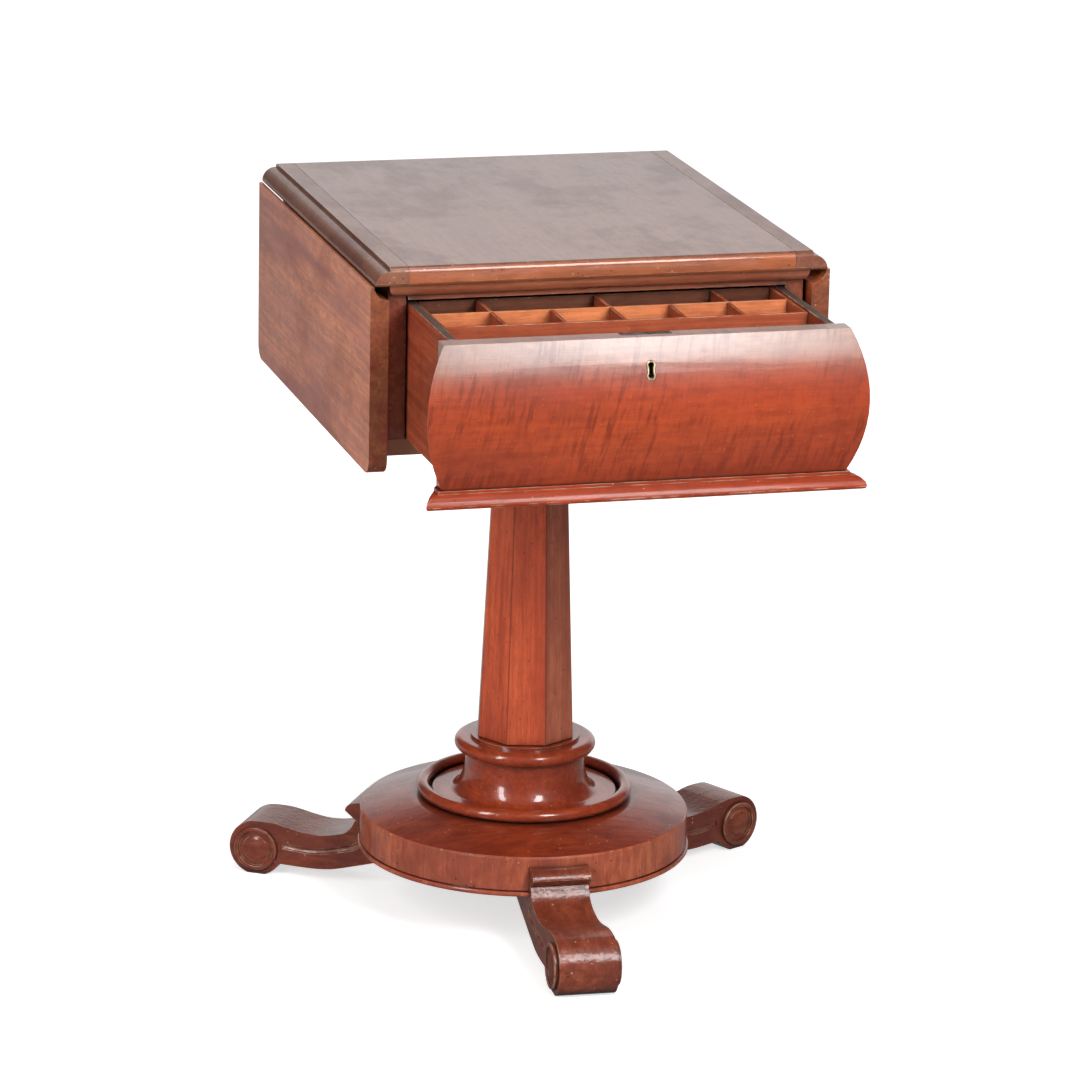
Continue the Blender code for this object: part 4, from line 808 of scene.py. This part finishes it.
def screw_tree():
    """Geometry nodes that set a slotted screw head on each point, turned by the seed."""
    tree = bpy.data.node_groups.new("slotted_screws", "GeometryNodeTree")
    nodes = Nodes(tree)
    sockets = [("Geometry", "Geometry"), ("Head Radius", "Float"), ("Head Height", "Float"),
               ("Slot Width", "Float"), ("Slot Depth", "Float"), ("Seed", "Int"), ("Metal", "Material")]
    for label, kind in sockets:
        tree.interface.new_socket(label, in_out="INPUT", socket_type="NodeSocket" + kind)
    tree.interface.new_socket("Geometry", in_out="OUTPUT", socket_type="NodeSocketGeometry")
    given = tree.nodes.new("NodeGroupInput").outputs
    head = nodes.node("GeometryNodeMeshCylinder", {"Vertices": HEAD_CORNERS, "Radius": given["Head Radius"],
                                                   "Depth": given["Head Height"]}, "Mesh")
    twice = nodes.node("ShaderNodeMath", {0: given["Slot Depth"], 1: 2.0}, operation="MULTIPLY")
    slot_size = nodes.node("ShaderNodeCombineXYZ", {"X": SLOT_LENGTH, "Y": given["Slot Width"], "Z": twice})
    slot = nodes.node("GeometryNodeMeshCube", {"Size": slot_size}, "Mesh")
    half = nodes.node("ShaderNodeMath", {0: given["Head Height"], 1: 0.5}, operation="MULTIPLY")
    lift = nodes.node("ShaderNodeCombineXYZ", {"Z": half})
    raised = nodes.node("GeometryNodeTransform", {"Geometry": slot, "Translation": lift})
    cut = nodes.node("GeometryNodeMeshBoolean", {"Mesh 1": head, "Mesh 2": raised}, "Mesh",
                     operation="DIFFERENCE")
    facing = nodes.node("GeometryNodeInputNamedAttribute", {"Name": "facing"}, "Attribute",
                        data_type="FLOAT_VECTOR")
    aim = nodes.node("FunctionNodeAlignRotationToVector", {"Vector": facing}, axis="Z")
    turn = nodes.node("FunctionNodeRandomValue", {3: math.pi, "Seed": given["Seed"]}, 1, data_type="FLOAT")
    spin = nodes.node("FunctionNodeEulerToRotation", {0: nodes.node("ShaderNodeCombineXYZ", {"Z": turn})})
    turned = nodes.node("FunctionNodeRotateRotation", {"Rotation": aim, "Rotate By": spin},
                        rotation_space="LOCAL")
    place = nodes.node("GeometryNodeInstanceOnPoints", {"Points": given["Geometry"], "Instance": cut,
                                                        "Rotation": turned})
    real = nodes.node("GeometryNodeRealizeInstances", {"Geometry": place})
    coat = nodes.node("GeometryNodeSetMaterial", {"Geometry": real, "Material": given["Metal"]})
    nodes.node("NodeGroupOutput", {"Geometry": coat})
    return tree


def plate_places(node, axis, sign, shares):
    """Points on one face of a plate, at shares of its two other sides, and the way that the face looks."""
    low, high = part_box(node)
    facing = Vector((0, 0, 0))
    facing[axis] = sign
    others = [index for index in range(3) if index != axis]
    found = []
    for first, second in shares:
        place = Vector((0, 0, 0))
        place[axis] = high[axis] if sign > 0 else low[axis]
        place[others[0]] = low[others[0]] + first * (high[others[0]] - low[others[0]])
        place[others[1]] = low[others[1]] + second * (high[others[1]] - low[others[1]])
        found.append((place, facing))
    return found


def set_screws(name, body, places, tree, metal):
    """One object with all the screws of a body."""
    chosen = sizes()
    sink = chosen.screw_height / 2 - chosen.screw_proud
    mesh = bpy.data.meshes.new(name)
    mesh.from_pydata([place - facing * sink for place, facing in places], [], [])
    stored = mesh.attributes.new("facing", "FLOAT_VECTOR", "POINT")
    for entry, (place, facing) in zip(stored.data, places):
        entry.vector = facing
    piece = bpy.data.objects.new(name, mesh)
    bpy.context.scene.collection.objects.link(piece)
    values = {"Head Radius": chosen.screw_radius, "Head Height": chosen.screw_height,
              "Slot Width": chosen.slot_width, "Slot Depth": chosen.slot_depth, "Seed": chosen.screw_seed,
              "Metal": metal}
    modifier = piece.modifiers.new("screws", "NODES")
    modifier.node_group = tree
    for item in tree.interface.items_tree:
        if item.in_out == "INPUT" and item.name in values:
            modifier[item.identifier] = values[item.name]
    plain_mesh(piece)
    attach(piece, body)


class TABLE_OT_screws(bpy.types.Operator):
    """Set the screws of the hinges, the lock and the column block"""

    bl_idname = "work_table.screws"
    bl_label = "Screws"

    def execute(self, context):
        tree = screw_tree()
        iron = finish("dark_iron")
        brass = finish("aged_brass")
        flap = ((0.2, 0.55), (0.8, 0.55), (0.5, 0.2))
        corners = ((0.12, 0.12), (0.88, 0.12), (0.12, 0.88), (0.88, 0.88))
        stand_places = plate_places("column_block", 2, -1, corners)
        for sign, side in ((1, "left"), (-1, "right")):
            leaf_places = []
            for end in ENDS:
                leaf_places += plate_places(f"hinge_leaf_{side}_{end}", 0, sign, flap)
                inner = 0.65 if sign > 0 else 0.35
                pair = ((inner, 0.2), (inner, 0.8))
                stand_places += plate_places(f"hinge_top_{side}_{end}", 2, -1, pair)
            set_screws(f"leaf_screws_{side}", f"leaf_{side}", leaf_places, tree, brass)
        set_screws("stand_screws", "stand", stand_places, tree, brass)
        lock_places = plate_places("lock_case", 1, 1, ((0.1, 0.15), (0.9, 0.15), (0.1, 0.7), (0.9, 0.7)))
        set_screws("lock_screws", "drawer", lock_places, tree, iron)
        return {"FINISHED"}


def softbox(name, azimuth, elevation, power, size, distance):
    """A rectangular lamp that looks at the table."""
    lamp = bpy.data.lights.new(name, "AREA")
    lamp.shape = "RECTANGLE"
    lamp.size = size[0]
    lamp.size_y = size[1]
    lamp.energy = power
    holder = bpy.data.objects.new(name, lamp)
    bpy.context.scene.collection.objects.link(holder)
    turn = math.radians(azimuth)
    tilt = math.radians(elevation)
    away = Vector((math.sin(turn) * math.cos(tilt), -math.cos(turn) * math.cos(tilt), math.sin(tilt)))
    holder.location = LOOK_AT + away * distance
    holder.rotation_euler = away.to_track_quat("Z", "Y").to_euler()
    return holder


def studio_floor(studio):
    """A wide pale floor: white from above with a soft shadow, dim in reflections and clear from below."""
    mesh = bpy.data.meshes.new("studio_floor")
    work = bmesh.new()
    bmesh.ops.create_circle(work, cap_ends=True, segments=96, radius=FLOOR_RADIUS)
    bmesh.ops.translate(work, verts=work.verts, vec=(0, 0, -FLOOR_DROP))
    work.to_mesh(mesh)
    work.free()
    floor = bpy.data.objects.new("studio_floor", mesh)
    bpy.context.scene.collection.objects.link(floor)
    recipe = Recipe("studio_floor")
    place = recipe.node("ShaderNodeTexCoord", {}, "Object")
    cloud = recipe.noise(place, (3.0, 3.0, 3.0), 3.0)
    colour = recipe.mix(cloud, tuple(studio.floor_colour), shade(studio.floor_colour, 0.97))
    matt = recipe.node("ShaderNodeBsdfDiffuse", {"Color": colour})
    path = recipe.tree.nodes.new("ShaderNodeLightPath")
    seen = recipe.number("ADD", path.outputs["Is Camera Ray"], path.outputs["Is Transmission Ray"])
    away = recipe.node("ShaderNodeVectorMath", {0: place}, "Value", operation="LENGTH")
    white = recipe.node("ShaderNodeMapRange", {"Value": away, "From Min": 0.7, "From Max": 1.9,
                                               "To Min": studio.floor_glow, "To Max": 0.97})
    level = recipe.number("MULTIPLY", seen, white)
    glow = recipe.node("ShaderNodeEmission", {"Color": (1, 1, 1), "Strength": level})
    both = recipe.node("ShaderNodeAddShader", {0: matt, 1: glow})
    depth = recipe.node("ShaderNodeSeparateXYZ", {"Vector": place}, "Y")
    far = recipe.node("ShaderNodeMapRange", {"Value": depth, "From Min": -0.3, "From Max": 1.2,
                                             "To Min": 0.10, "To Max": 0.55},
                      interpolation_type="SMOOTHSTEP")
    mirrored = recipe.node("ShaderNodeEmission", {"Color": (1, 1, 1), "Strength": far})
    shown = recipe.node("ShaderNodeMixShader", {0: path.outputs["Is Glossy Ray"], 1: both, 2: mirrored})
    below = recipe.node("ShaderNodeNewGeometry", {}, "Backfacing")
    clear = recipe.node("ShaderNodeBsdfTransparent", {})
    one_sided = recipe.node("ShaderNodeMixShader", {0: below, 1: shown, 2: clear})
    recipe.node("ShaderNodeOutputMaterial", {"Surface": one_sided})
    mesh.materials.append(recipe.material)


def studio_world(studio):
    """Soft light from all round, white for the camera and bright on one side in reflections."""
    world = bpy.data.worlds.new("studio")
    bpy.context.scene.world = world
    world.use_nodes = True
    nodes = Nodes(world.node_tree)
    path = nodes.tree.nodes.new("ShaderNodeLightPath").outputs
    seen = nodes.number("ADD", path["Is Camera Ray"], path["Is Transmission Ray"])
    direction = nodes.node("ShaderNodeTexCoord", {}, "Generated")
    side = nodes.node("ShaderNodeVectorMath", {0: direction, 1: BRIGHT_SIDE}, "Value",
                      operation="DOT_PRODUCT")
    behind = nodes.node("ShaderNodeMapRange", {"Value": side, "From Min": 0.76, "From Max": 0.95,
                                               "To Min": 0.05, "To Max": 1.0},
                        interpolation_type="SMOOTHSTEP")
    glossy = nodes.node("ShaderNodeMix", {0: path["Is Glossy Ray"], 2: studio.world_level, 3: behind})
    level = nodes.node("ShaderNodeMix", {0: seen, 2: glossy, 3: 1.0})
    background = nodes.node("ShaderNodeBackground", {"Color": (1, 1, 1), "Strength": level})
    nodes.node("ShaderNodeOutputWorld", {"Surface": background})


def studio_camera(studio):
    """The camera of the photograph: in front, to the left and a little above."""
    turn, pitch, roll = (math.radians(value) for value in CAMERA_TURNS)
    forward = Vector((math.sin(turn) * math.cos(pitch), math.cos(turn) * math.cos(pitch), -math.sin(pitch)))
    level = Vector((math.cos(turn), -math.sin(turn), 0.0))
    above = level.cross(forward)
    right = math.cos(roll) * level + math.sin(roll) * above
    up = -math.sin(roll) * level + math.cos(roll) * above
    data = bpy.data.cameras.new("photograph")
    data.lens = studio.lens
    data.sensor_width = SENSOR_WIDTH
    data.clip_end = 50.0
    camera = bpy.data.objects.new("photograph", data)
    bpy.context.scene.collection.objects.link(camera)
    turned = Matrix((right, up, -forward)).transposed().to_4x4()
    camera.matrix_world = Matrix.Translation(CAMERA_PLACE) @ turned
    bpy.context.scene.camera = camera


class TABLE_OT_stage(bpy.types.Operator):
    """Set the floor, the lamps, the background and the camera"""

    bl_idname = "work_table.stage"
    bl_label = "Studio"

    def execute(self, context):
        studio = context.scene.table_studio
        studio_floor(studio)
        studio_world(studio)
        softbox("left_softbox", -57.0, 20.0, studio.left_power, studio.left_size, studio.left_distance)
        softbox("top_softbox", -10.0, 62.0, studio.top_power, studio.top_size, studio.top_distance)
        softbox("right_softbox", 13.0, 26.0, studio.right_power, studio.right_size, studio.right_distance)
        key = softbox("key_lamp", 8.0, 24.0, studio.key_power, studio.right_size, studio.right_distance)
        key.visible_glossy = False
        back = softbox("back_lamp", 160.0, 28.0, studio.back_power, studio.top_size, studio.top_distance)
        back.visible_glossy = False
        studio_camera(studio)
        context.scene.view_settings.view_transform = "Standard"
        return {"FINISHED"}


OPERATORS = (TABLE_OT_base, TABLE_OT_carcase, TABLE_OT_top, TABLE_OT_drawer, TABLE_OT_interior,
             TABLE_OT_metalwork, TABLE_OT_screws, TABLE_OT_stage)


class TABLE_PT_panel(bpy.types.Panel):
    """Lists the steps that finish the work table"""

    bl_idname = "TABLE_PT_panel"
    bl_label = "Work Table"
    bl_space_type = "VIEW_3D"
    bl_region_type = "UI"
    bl_category = "Work Table"

    def draw(self, context):
        for operator in OPERATORS:
            self.layout.operator(operator.bl_idname)
        for group in (context.scene.table_sizes, context.scene.table_colours, context.scene.table_studio):
            column = self.layout.column()
            for key in group.bl_rna.properties.keys():
                if key not in {"rna_type", "name"}:
                    column.prop(group, key)


CLASSES = (TableSizes, TableColours, TableStudio, *OPERATORS, TABLE_PT_panel)


def register():
    """Register the classes and hang the settings on the scene."""
    for entry in CLASSES:
        bpy.utils.register_class(entry)
    bpy.types.Scene.table_sizes = PointerProperty(type=TableSizes)
    bpy.types.Scene.table_colours = PointerProperty(type=TableColours)
    bpy.types.Scene.table_studio = PointerProperty(type=TableStudio)


def unregister():
    """Undo what register did."""
    del bpy.types.Scene.table_studio
    del bpy.types.Scene.table_colours
    del bpy.types.Scene.table_sizes
    for entry in reversed(CLASSES):
        bpy.utils.unregister_class(entry)


def main():
    """Finish every piece and set the stage."""
    register()
    bpy.ops.work_table.base()
    bpy.ops.work_table.carcase()
    bpy.ops.work_table.top()
    bpy.ops.work_table.drawer()
    bpy.ops.work_table.interior()
    bpy.ops.work_table.metalwork()
    bpy.ops.work_table.screws()
    bpy.ops.work_table.stage()


if __name__ == "__main__":
    main()
